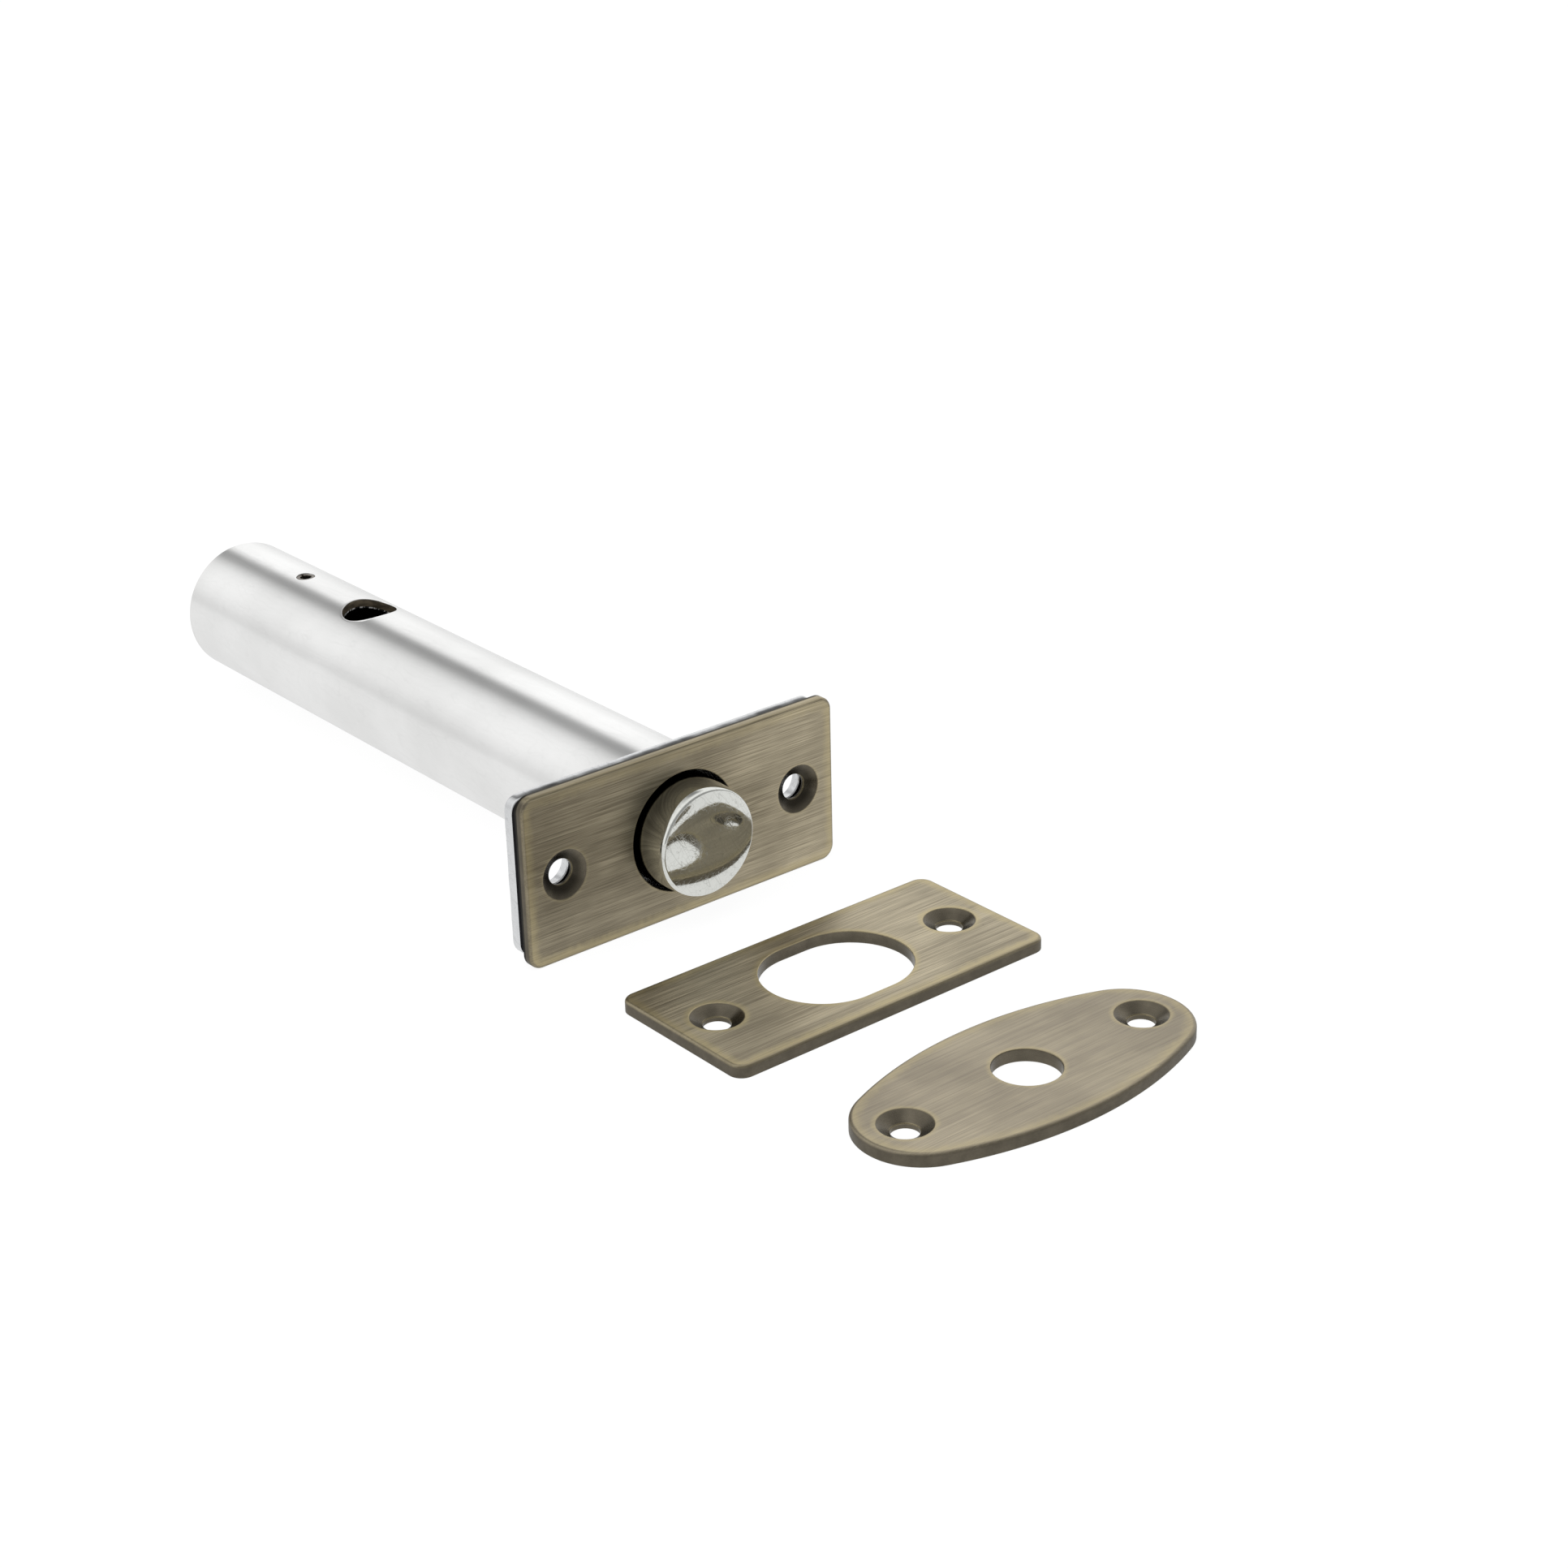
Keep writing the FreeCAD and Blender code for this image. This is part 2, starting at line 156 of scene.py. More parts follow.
class RackBoltBarSizes(bpy.types.PropertyGroup):
    """Sizes of the sliding bolt"""
    nose_radius: length("Nose radius", "Outside of the bolt's nose and neck", 0.0083)
    nose_tip_radius: length("Nose tip radius", "Outside of the nose at its edge, where it is thinnest", 0.008)
    nose_reach: length("Nose reach", "How far the nose stands out of the plate", 0.0057)
    nose_crown: length("Nose crown", "Rise of the domed nose", 0.0002)
    nose_edge: length("Nose edge", "Rounding of the nose's edge", 0.00045)
    nose_wear: length("Nose wear", "How far the nose's worn edge runs back along its side", 0.0013)
    shank_radius: length("Shank radius", "Outside of the shank in the tube", 0.00912)
    shoulder: length("Shoulder", "Station where the neck meets the shank", 0.0221)
    tail: length("Tail", "Station of the bolt's rear end", 0.111)
    chamfer: length("Chamfer", "Chamfers at the shoulder and the tail", 0.0004)
    slot_radius: length("Key slot radius", "Half width of the key slot", 0.0043)
    slot_front: length("Key slot front", "First arc centre of the key slot", 0.0743)
    slot_back: length("Key slot back", "Last arc centre of the key slot", 0.088)
    guide_radius: length("Guide slot radius", "Half width of the guide slot", 0.00175)
    guide_back: length("Guide slot back", "Arc centre at the guide slot's rear end", 0.107)
    tooth_pitch: length("Tooth pitch", "Pitch of the rack teeth", 0.0027)
    tooth_depth: length("Tooth depth", "Depth of the rack teeth", 0.0017)
    tooth_tip: length("Tooth tip", "Width of a tooth at its tip", 0.0007)
    tooth_base: length("Tooth base", "Width of a tooth at its root", 0.0019)
    tooth_reach: length("Tooth reach", "Half length of the teeth across the bolt", 0.00792)
    detent_station: length("Detent station", "Pocket of the detent ball", 0.046)
    detent_radius: length("Detent radius", "Radius of that pocket", 0.0021)
    detent_floor: length("Detent floor", "Level of the pocket's bottom over the axis", 0.001116)


class RackBoltFinishes(bpy.types.PropertyGroup):
    """Colours of the finishes"""
    brass: colour("Antique brass", "Brushed face of the face plate and keep plate", (0.205, 0.176, 0.124))
    brass_light: colour("Brass streaks", "Light brush streaks", (0.545, 0.480, 0.345))
    brass_worn: colour("Worn brass", "Edges that are rubbed paler", (0.58, 0.49, 0.275))
    brass_dark: colour("Dark brass", "Antiqued sides and countersinks", (0.128, 0.112, 0.084))
    oval_brass: colour("Escutcheon brass", "Brushed face of the escutcheon", (0.270, 0.232, 0.185))
    tube: colour("Satin tube", "Barrel tube", (0.955, 0.955, 0.945))
    oxide: colour("Oxide", "Stained walls of the tube's holes", (0.058, 0.047, 0.032))
    casting: colour("Zinc casting", "Plate behind the pad", (0.78, 0.79, 0.80))
    bolt: colour("Bright bolt", "Polished bolt", (0.79, 0.80, 0.76))
    pad: colour("Black pad", "Pad between plate and casting", (0.005, 0.005, 0.006))
    steel: colour("Spring steel", "Guide pin, ball and spring", (0.24, 0.215, 0.19))
    plug: colour("End plug", "Plug in the tube's rear end", (0.52, 0.52, 0.52))
    floor: colour("Floor", "Studio floor", (0.86, 0.86, 0.86))


class RackBoltStudio(bpy.types.PropertyGroup):
    """Camera and light"""
    target: FloatVectorProperty(name="Target", description="Point that the camera looks at", size=3,
                                default=(0.0374962, 0.0241946, -0.0126), subtype="TRANSLATION", unit="LENGTH")
    distance: length("Distance", "Camera to target", 0.4569326)
    azimuth: FloatProperty(name="Azimuth", description="Camera's way round the object, 0 looks along +Y",
                           default=math.radians(-38.95628), subtype="ANGLE")
    elevation: FloatProperty(name="Elevation", description="Camera's height over the floor as an angle",
                             default=math.radians(24.48258), subtype="ANGLE")
    roll: FloatProperty(name="Roll", description="Camera's turn about its own line of sight",
                        default=math.radians(-1.52019), subtype="ANGLE")
    lens: FloatProperty(name="Lens", description="Focal length in millimetres on a 36 mm sensor", default=68.198,
                        min=10.0, max=300.0)
    world_light: FloatProperty(name="World light", description="Strength of the even light round the object",
                               default=0.85, min=0.0, max=2.0)
    key_power: FloatProperty(name="Key power", description="Power of the large lamp above", default=2.2, min=0.0,
                             max=50.0, unit="POWER")
    fill_power: FloatProperty(name="Fill power", description="Power of the lamp on the right", default=0.9, min=0.0,
                              max=50.0, unit="POWER")


# Meshes from grids

class Patches:
    """Collects grids of points, each a surface worked out from two parameters, and joins them into one closed mesh."""

    def __init__(self):
        self.points, self.faces, self.values, self.count = [], [], [], 0

    def grid(self, points, closed=False, keep=None, rim=FAR, hole=FAR):
        """Adds points[i, j]. Quads run between neighbours in i and j, and from the last j to the first if closed."""
        rows, columns = points.shape[:2]
        index = np.arange(rows * columns).reshape(rows, columns) + self.count
        if closed:
            index = np.concatenate([index, index[:, :1]], axis=1)
        quads = np.stack([index[:-1, :-1], index[1:, :-1], index[1:, 1:], index[:-1, 1:]], axis=-1)
        quads = quads[keep] if keep is not None else quads.reshape(-1, 4)
        self.points.append(points.reshape(-1, 3))
        self.faces.append(quads)
        marks = np.stack([np.broadcast_to(rim, (rows, columns)), np.broadcast_to(hole, (rows, columns))], axis=-1)
        self.values.append(marks.reshape(-1, 2))
        self.count += rows * columns

    def build(self, name, place=None):
        """Joins equal points, turns the faces outwards and marks the sharp edges. Fails if the surface has a hole."""
        points = np.concatenate(self.points)
        if place is not None:
            points = place(points)
        faces = np.concatenate(self.faces)
        values = np.concatenate(self.values).astype(np.float32)
        mesh = bpy.data.meshes.new(name)
        mesh.from_pydata(points, [], faces)
        for column, attribute in enumerate(("rim_mm", "hole_mm")):
            layer = mesh.attributes.new(attribute, "FLOAT", "POINT")
            layer.data.foreach_set("value", np.ascontiguousarray(values[:, column]))
        work = bmesh.new()
        work.from_mesh(mesh)
        bmesh.ops.remove_doubles(work, verts=work.verts, dist=WELD)
        bmesh.ops.recalc_face_normals(work, faces=work.faces)
        open_edges = sum(1 for edge in work.edges if not edge.is_manifold)
        if work.calc_volume(signed=True) < 0:
            bmesh.ops.reverse_faces(work, faces=work.faces)
        work.to_mesh(mesh)
        work.free()
        if open_edges:
            raise RuntimeError(f"{name} has {open_edges} open edges")
        mesh.shade_smooth()
        mesh.set_sharp_from_angle(angle=SHARP)
        piece = bpy.data.objects.new(name, mesh)
        bpy.context.scene.collection.objects.link(piece)
        return piece


def line(start, end, count):
    """Points from start to end, without the end, and their outward normals for a loop that runs anticlockwise."""
    start, end = np.array(start, float), np.array(end, float)
    step = np.arange(count)[:, None] / count
    way = (end - start) / np.linalg.norm(end - start)
    return start + step * (end - start), np.tile([way[1], -way[0]], (count, 1))


def arc(centre, radius, start, stop, count):
    """Points round a centre between two angles, without the last, and their outward normals."""
    angle = start + (stop - start) * np.arange(count) / count
    normal = np.stack([np.cos(angle), np.sin(angle)], axis=1)
    return np.array(centre, float) + radius * normal, normal


def join(*runs):
    """Runs of points and normals, one after the other."""
    return tuple(np.concatenate(parts) for parts in zip(*runs))


def rectangle_runs(size_x, size_y, radius, divide):
    """Right-hand end and upper side of a rounded rectangle, split where x = divide."""
    x, y = size_x / 2, size_y / 2
    right = join(
        line((divide, -y), (x - radius, -y), SIDE_STEPS),
        arc((x - radius, -y + radius), radius, -QUARTER, 0, CORNER_STEPS),
        line((x, -y + radius), (x, y - radius), END_STEPS),
        arc((x - radius, y - radius), radius, 0, QUARTER, CORNER_STEPS),
        line((x - radius, y), (divide, y), SIDE_STEPS))
    return right, line((divide, y), (-divide, y), MIDDLE_STEPS)


def oval_runs(size_x, size_y, end_radius, divide):
    """The same for an oval of four arcs that meet smoothly: two small end arcs and two large side arcs."""
    reach, rise = size_x / 2 - end_radius, size_y / 2
    side = (reach ** 2 + rise ** 2 - end_radius ** 2) / (2 * (rise - end_radius))
    drop = side - rise
    turn = math.atan2(reach, drop)
    cut = math.asin(divide / side)
    right = join(
        arc((0, drop), side, 3 * QUARTER + cut, 3 * QUARTER + turn, OVAL_SIDE_STEPS),
        arc((reach, 0), end_radius, turn - QUARTER, QUARTER - turn, OVAL_END_STEPS),
        arc((0, -drop), side, QUARTER - turn, QUARTER - cut, OVAL_SIDE_STEPS))
    return right, arc((0, -drop), side, QUARTER - cut, QUARTER + cut, 2 * OVAL_SIDE_STEPS)


def soften(profile, radius, steps=3):
    """Profile of (radius, level) points with each inner corner replaced by a parabola that starts radius from it."""
    corners = np.array(profile, float)
    run = [corners[:1]]
    for before, corner, after in zip(corners, corners[1:], corners[2:]):
        into, out = before - corner, after - corner
        back = min(radius, MOST_SOFTENED * np.linalg.norm(into), MOST_SOFTENED * np.linalg.norm(out))
        a = corner + into / np.linalg.norm(into) * back
        b = corner + out / np.linalg.norm(out) * back
        t = np.linspace(0, 1, steps + 2)[:, None]
        run.append((1 - t) ** 2 * a + 2 * t * (1 - t) * corner + t ** 2 * b)
    run.append(corners[-1:])
    return np.concatenate(run)


def fill_in(profile, longest):
    """Profile with extra points, so that no step is longer than longest."""
    profile = np.asarray(profile, float)
    steps = np.linalg.norm(np.diff(profile, axis=0), axis=1)
    counts = np.maximum(1, np.ceil(steps / longest)).astype(int)
    runs = [a + (b - a) * np.arange(n)[:, None] / n for a, b, n in zip(profile, profile[1:], counts)]
    return np.concatenate(runs + [profile[-1:]])


def travelled(profile):
    """Length along a profile up to each of its points, in millimetres."""
    steps = np.linalg.norm(np.diff(profile, axis=0), axis=1)
    return np.concatenate([[0], np.cumsum(steps)]) * MM_PER_M


def cell_loops(runs, inset):
    """Closed loops round the three cells of a plate: left end, middle and right end, all anticlockwise.

    The outline is moved inwards by inset along its normals. The cells meet on two straight dividing lines."""
    (right, right_normal), (upper, upper_normal) = runs
    right, upper = right - inset * right_normal, upper - inset * upper_normal
    low, high = right[0], upper[0]
    divider = low + (high - low) * np.arange(1, DIVIDER_STEPS)[:, None] / DIVIDER_STEPS
    end = np.concatenate([right, [high], divider[::-1]])
    middle = np.concatenate([[low], divider, upper, [-low], -divider, -upper])
    return -end, middle, end, np.concatenate([right, upper, -right, -upper])


def plate(runs, thickness, edge, holes, wander=None):
    """Flat plate with three holes, top at z = thickness, as patches.

    edge is the outline's profile of (inset, level) from the top face to the bottom face.
    Each hole is (centre x, half length of its straight part, profile of (radius, level) from top to bottom).
    The faces are ruled from each hole's rim to the loop round its cell; walls are the profiles carried round."""
    patches = Patches()
    edge = np.asarray(edge, float)
    top_loops, bottom_loops = cell_loops(runs, edge[0, 0]), cell_loops(runs, edge[-1, 0])
    (right, right_normal), (upper, upper_normal) = runs
    outline = np.concatenate([right, upper, -right, -upper])
    normal = np.concatenate([right_normal, upper_normal, -right_normal, -upper_normal])
    inset = np.repeat(edge[:, :1], len(outline), axis=1)
    if wander is not None:
        inset = inset + wander(outline, edge)
    wall = outline[None] - inset[..., None] * normal[None]
    levels = np.repeat(edge[:, 1:], len(outline), axis=1)
    patches.grid(np.dstack([wall, levels]), closed=True, rim=-travelled(edge)[:, None])
    border = top_loops[3]
    spread = 0.5 - 0.5 * np.cos(np.linspace(0, math.pi, FACE_ROWS))
    for (centre, half, profile), top, bottom in zip(holes, top_loops, bottom_loops):
        profile = np.asarray(profile, float)
        middle = np.stack([centre + np.clip(top[:, 0] - centre, -half, half), np.zeros(len(top))], axis=1)
        way = top - middle
        way /= np.linalg.norm(way, axis=1)[:, None]
        rings = middle[None] + profile[:, :1, None] * way[None]
        levels = np.repeat(profile[:, 1:], len(top), axis=1)
        patches.grid(np.dstack([rings, levels]), closed=True, hole=-travelled(profile)[:, None])
        for loop, row in ((top, 0), (bottom, -1)):
            face = rings[row][None] + spread[:, None, None] * (loop - rings[row])[None]
            flat = np.dstack([face, np.full(face.shape[:2], profile[row, 1])])
            if row == 0:
                gap = np.linalg.norm(face[:, :, None] - border[None, None], axis=-1).min(axis=-1) * MM_PER_M
                out = (np.linalg.norm(face - middle[None], axis=-1) - profile[0, 0]) * MM_PER_M
                patches.grid(flat, closed=True, rim=gap, hole=out)
            else:
                patches.grid(flat, closed=True, rim=UNDERSIDE, hole=FAR)
    return patches


def quarter_round(wall, top, radius, count):
    """Points of a quarter circle from the level top, radius away from the wall, down to the wall."""
    angle = np.linspace(0, QUARTER, count)
    return np.stack([wall + radius * (1 - np.sin(angle)), top - radius * (1 - np.cos(angle))], axis=1)


def rounded_edge(thickness, radius, burr):
    """Outline profile of a plate: quarter round at the top, straight wall, small break at the bottom."""
    wall = np.array([[0.0, 0.4 * thickness], [0.0, burr], [burr, 0.0]])
    return np.concatenate([quarter_round(0.0, thickness, radius, 9), wall])


def punched(radius, thickness, rim, burr):
    """Hole profile: rounded upper rim, straight wall, small break below."""
    top = quarter_round(radius, thickness, rim, 6)
    wall = fill_in(np.array([top[-1], [radius, burr], [radius + burr, 0.0]]), WALL_STEP)
    return np.concatenate([top[:-1], wall])


def countersunk(sizes, thickness):
    """Hole profile: cone from the wide rim down to the straight hole, with small breaks at its corners."""
    corners = [(sizes.sink_radius + CONE_LEAD, thickness), (sizes.sink_radius, thickness),
               (sizes.screw_radius, thickness - sizes.sink_depth), (sizes.screw_radius, 0.0),
               (sizes.screw_radius + CONE_RUN_OUT, 0.0)]
    return fill_in(soften(corners, sizes.burr)[1:-1], CONE_STEP)


def plate_holes(sizes, thickness, radius, half, rim):
    """The three holes of a plate, left to right."""
    screw = countersunk(sizes, thickness)
    side = sizes.screw_spacing / 2
    return (-side, 0.0, screw), (0.0, half, punched(radius, thickness, rim, sizes.burr)), (side, 0.0, screw)


def divide_at(sizes, centre_reach, screw_reach):
    """Where a plate is split between its middle hole and a screw hole."""
    return (centre_reach + sizes.screw_spacing / 2 - screw_reach) / 2


def stand_up(back):
    """Places a plate drawn lying: its top faces -Y and its underside is at y = back."""
    return lambda points: np.stack([points[:, 0], back - points[:, 2], points[:, 1]], axis=1)


def lay_down(low, high):
    """Places a plate drawn lying: in the middle of its CAD box, its underside on the box's floor."""
    middle = (low + high) / 2
    return lambda points: points + np.array([middle.x, middle.y, low.z])


def build_plate(name, sizes, runs, thickness, edge_round, holes, place):
    """Piece for a plate with a rounded upper edge."""
    return plate(runs, thickness, rounded_edge(thickness, edge_round, sizes.burr), holes).build(name, place)


# Turned pieces: half drums that mirror each other in the plane z = 0

HALF_TURN = np.linspace(-QUARTER, QUARTER, 129)
WINDOW_RINGS = 9


def turned(patches, profile, side):
    """Half of a turned surface: profile of (radius, y) carried round Y on the side +Z or -Z."""
    profile = np.asarray(profile, float)
    radius, station = profile[:, :1], profile[:, 1:]
    x = radius * np.sin(HALF_TURN)
    z = side * radius * np.cos(HALF_TURN)
    patches.grid(np.dstack([x, station + 0 * x, z]))


def half_drum(patches, radius, stations, side, windows):
    """Half of a cylinder over the given stations, with windows.

    A window has a span (first and last column, first and last row) and the x and y of its rim. The drum's quads are
    left out in the span, and rings are ruled on the cylinder from the span's border to the rim."""
    x = radius * np.sin(HALF_TURN)
    grid = np.dstack([np.tile(x, (len(stations), 1)), np.tile(stations[:, None], (1, len(x))),
                      np.tile(side * radius * np.cos(HALF_TURN), (len(stations), 1))])
    keep = np.ones((len(stations) - 1, len(x) - 1), bool)
    for window in windows:
        i0, i1, j0, j1 = window["span"]
        keep[j0:j1, i0:i1] = False
        turn, station = border(stations, window["span"])
        rim_turn = np.arcsin(window["x"] / radius)
        share = np.linspace(0, 1, WINDOW_RINGS)[:, None]
        angle = rim_turn + share * (turn - rim_turn)
        y = window["y"] + share * (station - window["y"])
        ring = np.dstack([radius * np.sin(angle), y, side * radius * np.cos(angle)])
        patches.grid(ring, closed=True)
    patches.grid(grid, keep=keep)


def border(stations, span):
    """Angles and stations round a window's border, anticlockwise from its lower left corner."""
    i0, i1, j0, j1 = span
    columns = np.concatenate([np.arange(i0, i1), np.full(j1 - j0, i1), np.arange(i1, i0, -1), np.full(j1 - j0, i0)])
    rows = np.concatenate([np.full(i1 - i0, j0), np.arange(j0, j1), np.full(i1 - i0, j1), np.arange(j1, j0, -1)])
    return HALF_TURN[columns], stations[rows]


def round_window(stations, span, centre, radius):
    """Window whose rim is a circle of the given radius, seen along Z."""
    turn, station = border(stations, span)
    middle_turn = (HALF_TURN[span[0]] + HALF_TURN[span[1]]) / 2
    half_turn = (HALF_TURN[span[1]] - HALF_TURN[span[0]]) / 2
    middle = (stations[span[2]] + stations[span[3]]) / 2
    half = (stations[span[3]] - stations[span[2]]) / 2
    angle = np.arctan2((station - middle) / half, (turn - middle_turn) / half_turn)
    return {"span": span, "x": radius * np.cos(angle), "y": centre + radius * np.sin(angle)}


# Steps on the slot's outline: its front arc, its straight sides and its two rear arcs
SLOT_FRONT_STEPS, SLOT_SIDE_STEPS, SLOT_REAR_STEPS = 30, 40, 20

# How far round the slot's ends the window's corners are tied, as shares of the ends' radii
SLOT_FRONT_TIE, SLOT_REAR_TIE = 0.8, 0.9


def slot_window(span, bar):
    """Window whose rim is the outline of the key slot with the narrower guide slot behind it.

    The span's four corners are tied to marks on that outline, and the points between them are spread evenly."""
    wide, narrow = bar.slot_radius, bar.guide_radius
    shoulder = math.sqrt(wide ** 2 - narrow ** 2)
    bend = math.atan2(shoulder, narrow)
    right = np.concatenate([
        arc((0, bar.slot_front), wide, -QUARTER, 0, SLOT_FRONT_STEPS)[0],
        line((wide, bar.slot_front), (wide, bar.slot_back), SLOT_SIDE_STEPS)[0],
        arc((0, bar.slot_back), wide, 0, bend, SLOT_REAR_STEPS)[0],
        line((narrow, bar.slot_back + shoulder), (narrow, bar.guide_back), SLOT_SIDE_STEPS)[0],
        arc((0, bar.guide_back), narrow, 0, QUARTER, SLOT_REAR_STEPS)[0],
        [[0, bar.guide_back + narrow]]])
    outline = np.concatenate([right, right[-2:0:-1] * [-1, 1], right[:1]])
    run = travelled(outline)
    i0, i1, j0, j1 = span
    wide_count, tall_count = i1 - i0, j1 - j0
    count = 2 * (wide_count + tall_count)
    place = (np.arange(count) - wide_count / 2) % count
    corners = np.array([0, wide_count / 2, wide_count / 2 + tall_count]) / count
    corners = np.concatenate([corners, 1 - corners[:0:-1], [1]])
    corners.sort()
    half = travelled(right)
    marks = np.array([0, SLOT_FRONT_TIE * wide * MM_PER_M, half[-1] - SLOT_REAR_TIE * narrow * MM_PER_M])
    marks = np.concatenate([marks, run[-1] - marks[:0:-1], [run[-1]]])
    marks.sort()
    at = np.interp(place / count, corners, marks)
    return {"span": span, "x": np.interp(at, run, outline[:, 0]), "y": np.interp(at, run, outline[:, 1])}


def wall_rows(window, levels):
    """Wall of a window: its rim carried along Z through the given rows of levels."""
    x = np.broadcast_to(window["x"], levels.shape)
    y = np.broadcast_to(window["y"], levels.shape)
    return np.dstack([x, y, levels])


def nearest(values, wanted):
    """Index of the value that is nearest to the wanted one."""
    return int(np.argmin(np.abs(values - wanted)))


def span_of(stations, low, high, half_angle):
    """Span of a window: the columns up to half_angle degrees from the top, and the rows nearest to low and high."""
    half = math.radians(half_angle)
    return (nearest(HALF_TURN, -half), nearest(HALF_TURN, half), nearest(stations, low), nearest(stations, high))


# Node groups

def new_group(name, inputs, outputs):
    """Empty shader node group with named sockets."""
    group = bpy.data.node_groups.new(name, "ShaderNodeTree")
    for label, kind, default in inputs:
        socket = group.interface.new_socket(name=label, in_out="INPUT", socket_type=kind)
        if default is not None:
            socket.default_value = default
    for label, kind in outputs:
        group.interface.new_socket(name=label, in_out="OUTPUT", socket_type=kind)
    return group, group.nodes.new("NodeGroupInput"), group.nodes.new("NodeGroupOutput")


class Wiring:
    """Short ways to add and join shader nodes in one tree."""

    def __init__(self, tree):
        self.tree = tree

    def node(self, kind, **settings):
        """New node of a kind, with its settings."""
        made = self.tree.nodes.new(kind)
        for key, value in settings.items():
            setattr(made, key, value)
        return made

    def feed(self, socket, value):
        """Links an output to a socket, or gives the socket a plain value."""
        if isinstance(value, bpy.types.NodeSocket):
            self.tree.links.new(value, socket)
        elif value is not None:
            socket.default_value = value

    def math(self, operation, *values, clamp=False):
        """Result of one sum on the values."""
        made = self.node("ShaderNodeMath", operation=operation, use_clamp=clamp)
        for socket, value in zip(made.inputs, values):
            self.feed(socket, value)
        return made.outputs[0]

    def ramp(self, value, low, high, to_low=0.0, to_high=1.0):
        """Value mapped smoothly from low..high to to_low..to_high."""
        made = self.node("ShaderNodeMapRange", interpolation_type="SMOOTHSTEP")
        for socket, item in zip(made.inputs, (value, low, high, to_low, to_high)):
            self.feed(socket, item)
        return made.outputs[0]

    def mix(self, share, first, second, blend="MIX"):
        """The first colour with the given share of the second."""
        made = self.node("ShaderNodeMix", data_type="RGBA", blend_type=blend, clamp_factor=True)
        colours = [s for s in made.inputs if s.type == "RGBA"]
        self.feed(made.inputs[0], share)
        for socket, value in zip(colours, (first, second)):
            self.feed(socket, (*value, 1.0) if isinstance(value, (tuple, list)) and len(value) == 3 else value)
        return [s for s in made.outputs if s.type == "RGBA"][0]

    def stretch(self, vector, scale):
        """A vector times a scale, axis by axis."""
        made = self.node("ShaderNodeVectorMath", operation="MULTIPLY")
        self.feed(made.inputs[0], vector)
        self.feed(made.inputs[1], scale)
        return made.outputs[0]

    def noise(self, vector, scale=1.0, detail=2.0, roughness=0.5):
        """Value from 0 to 1 of a noise at a place."""
        made = self.node("ShaderNodeTexNoise")
        for label, value in (("Vector", vector), ("Scale", scale), ("Detail", detail), ("Roughness", roughness)):
            self.feed(made.inputs[label], value)
        return made.outputs[0]

    def times(self, *values):
        """Product of two values."""
        return self.math("MULTIPLY", *values)

    def parts(self, vector):
        """X, Y and Z of a vector."""
        made = self.node("ShaderNodeSeparateXYZ")
        self.feed(made.inputs[0], vector)
        return made.outputs

    def shade(self, base, value):
        """A colour times a grey value."""
        grey = self.node("ShaderNodeCombineColor")
        for socket in grey.inputs[:3]:
            self.feed(socket, value)
        return self.mix(1.0, base, grey.outputs[0], "MULTIPLY")

    def use(self, name, **values):
        """Outputs of a shared node group, which is made when it is first used."""
        group = bpy.data.node_groups.get(name) or GROUPS[name]()
        made = self.node("ShaderNodeGroup", node_tree=group)
        for label, value in values.items():
            self.feed(made.inputs[label], value)
        return made.outputs


def tinted(base, factor):
    """A colour with each of its parts times a factor."""
    return tuple(factor * c for c in base)


# Brush streaks: noise scale across and along the brushing, detail, and share in the brass's tone
STREAKS = {"Hairs": (9500.0, 120.0, 3.0, 0.50), "Lines": (4300.0, 60.0, 3.0, 0.32), "Bands": (600.0, 12.0, 2.0, 0.18)}


def streaks_group():
    """Brush streaks: three noises drawn out along one way, from hairlines to broad bands."""
    group, start, end = new_group(
        "Brush streaks",
        [("Vector", "NodeSocketVector", None), ("Long way", "NodeSocketVector", (1, 0, 0))],
        [(label, "NodeSocketFloat") for label in STREAKS])
    w = Wiring(group)
    for label, (across, along, detail, _) in STREAKS.items():
        scale = w.node("ShaderNodeMix", data_type="VECTOR", factor_mode="NON_UNIFORM")
        w.feed(scale.inputs[1], start.outputs["Long way"])
        vectors = [s for s in scale.inputs if s.type == "VECTOR" and s.name in ("A", "B")]
        w.feed(vectors[0], (across, across, across))
        w.feed(vectors[1], (along, along, along))
        drawn = w.stretch(start.outputs["Vector"], [s for s in scale.outputs if s.type == "VECTOR"][0])
        w.feed(end.inputs[label], w.noise(drawn, 1.0, detail, 0.62))
    return group


def wear_group():
    """Edge wear: full on a worn edge, fading over a band on the face, and broken up by noise.

    Below is one on the wall that runs down from the edge."""
    group, start, end = new_group(
        "Edge wear",
        [("Vector", "NodeSocketVector", None), ("Distance", "NodeSocketFloat", 0.0), ("Band", "NodeSocketFloat", 1.0),
         ("Ragged", "NodeSocketFloat", 0.5)],
        [("Worn", "NodeSocketFloat"), ("Below", "NodeSocketFloat")])
    w = Wiring(group)
    noise = w.noise(start.outputs["Vector"], 700.0, 4.0, 0.6)
    shift = w.times(w.math("SUBTRACT", noise, 0.5), start.outputs["Ragged"])
    place = w.math("ADD", start.outputs["Distance"], shift)
    fade = w.ramp(w.math("DIVIDE", place, start.outputs["Band"]), 0.0, 1.0, 1.0, 0.0)
    w.feed(end.inputs["Worn"], fade)
    w.feed(end.inputs["Below"], w.ramp(start.outputs["Distance"], -0.35, -0.72, 0.0, 1.0))
    return group


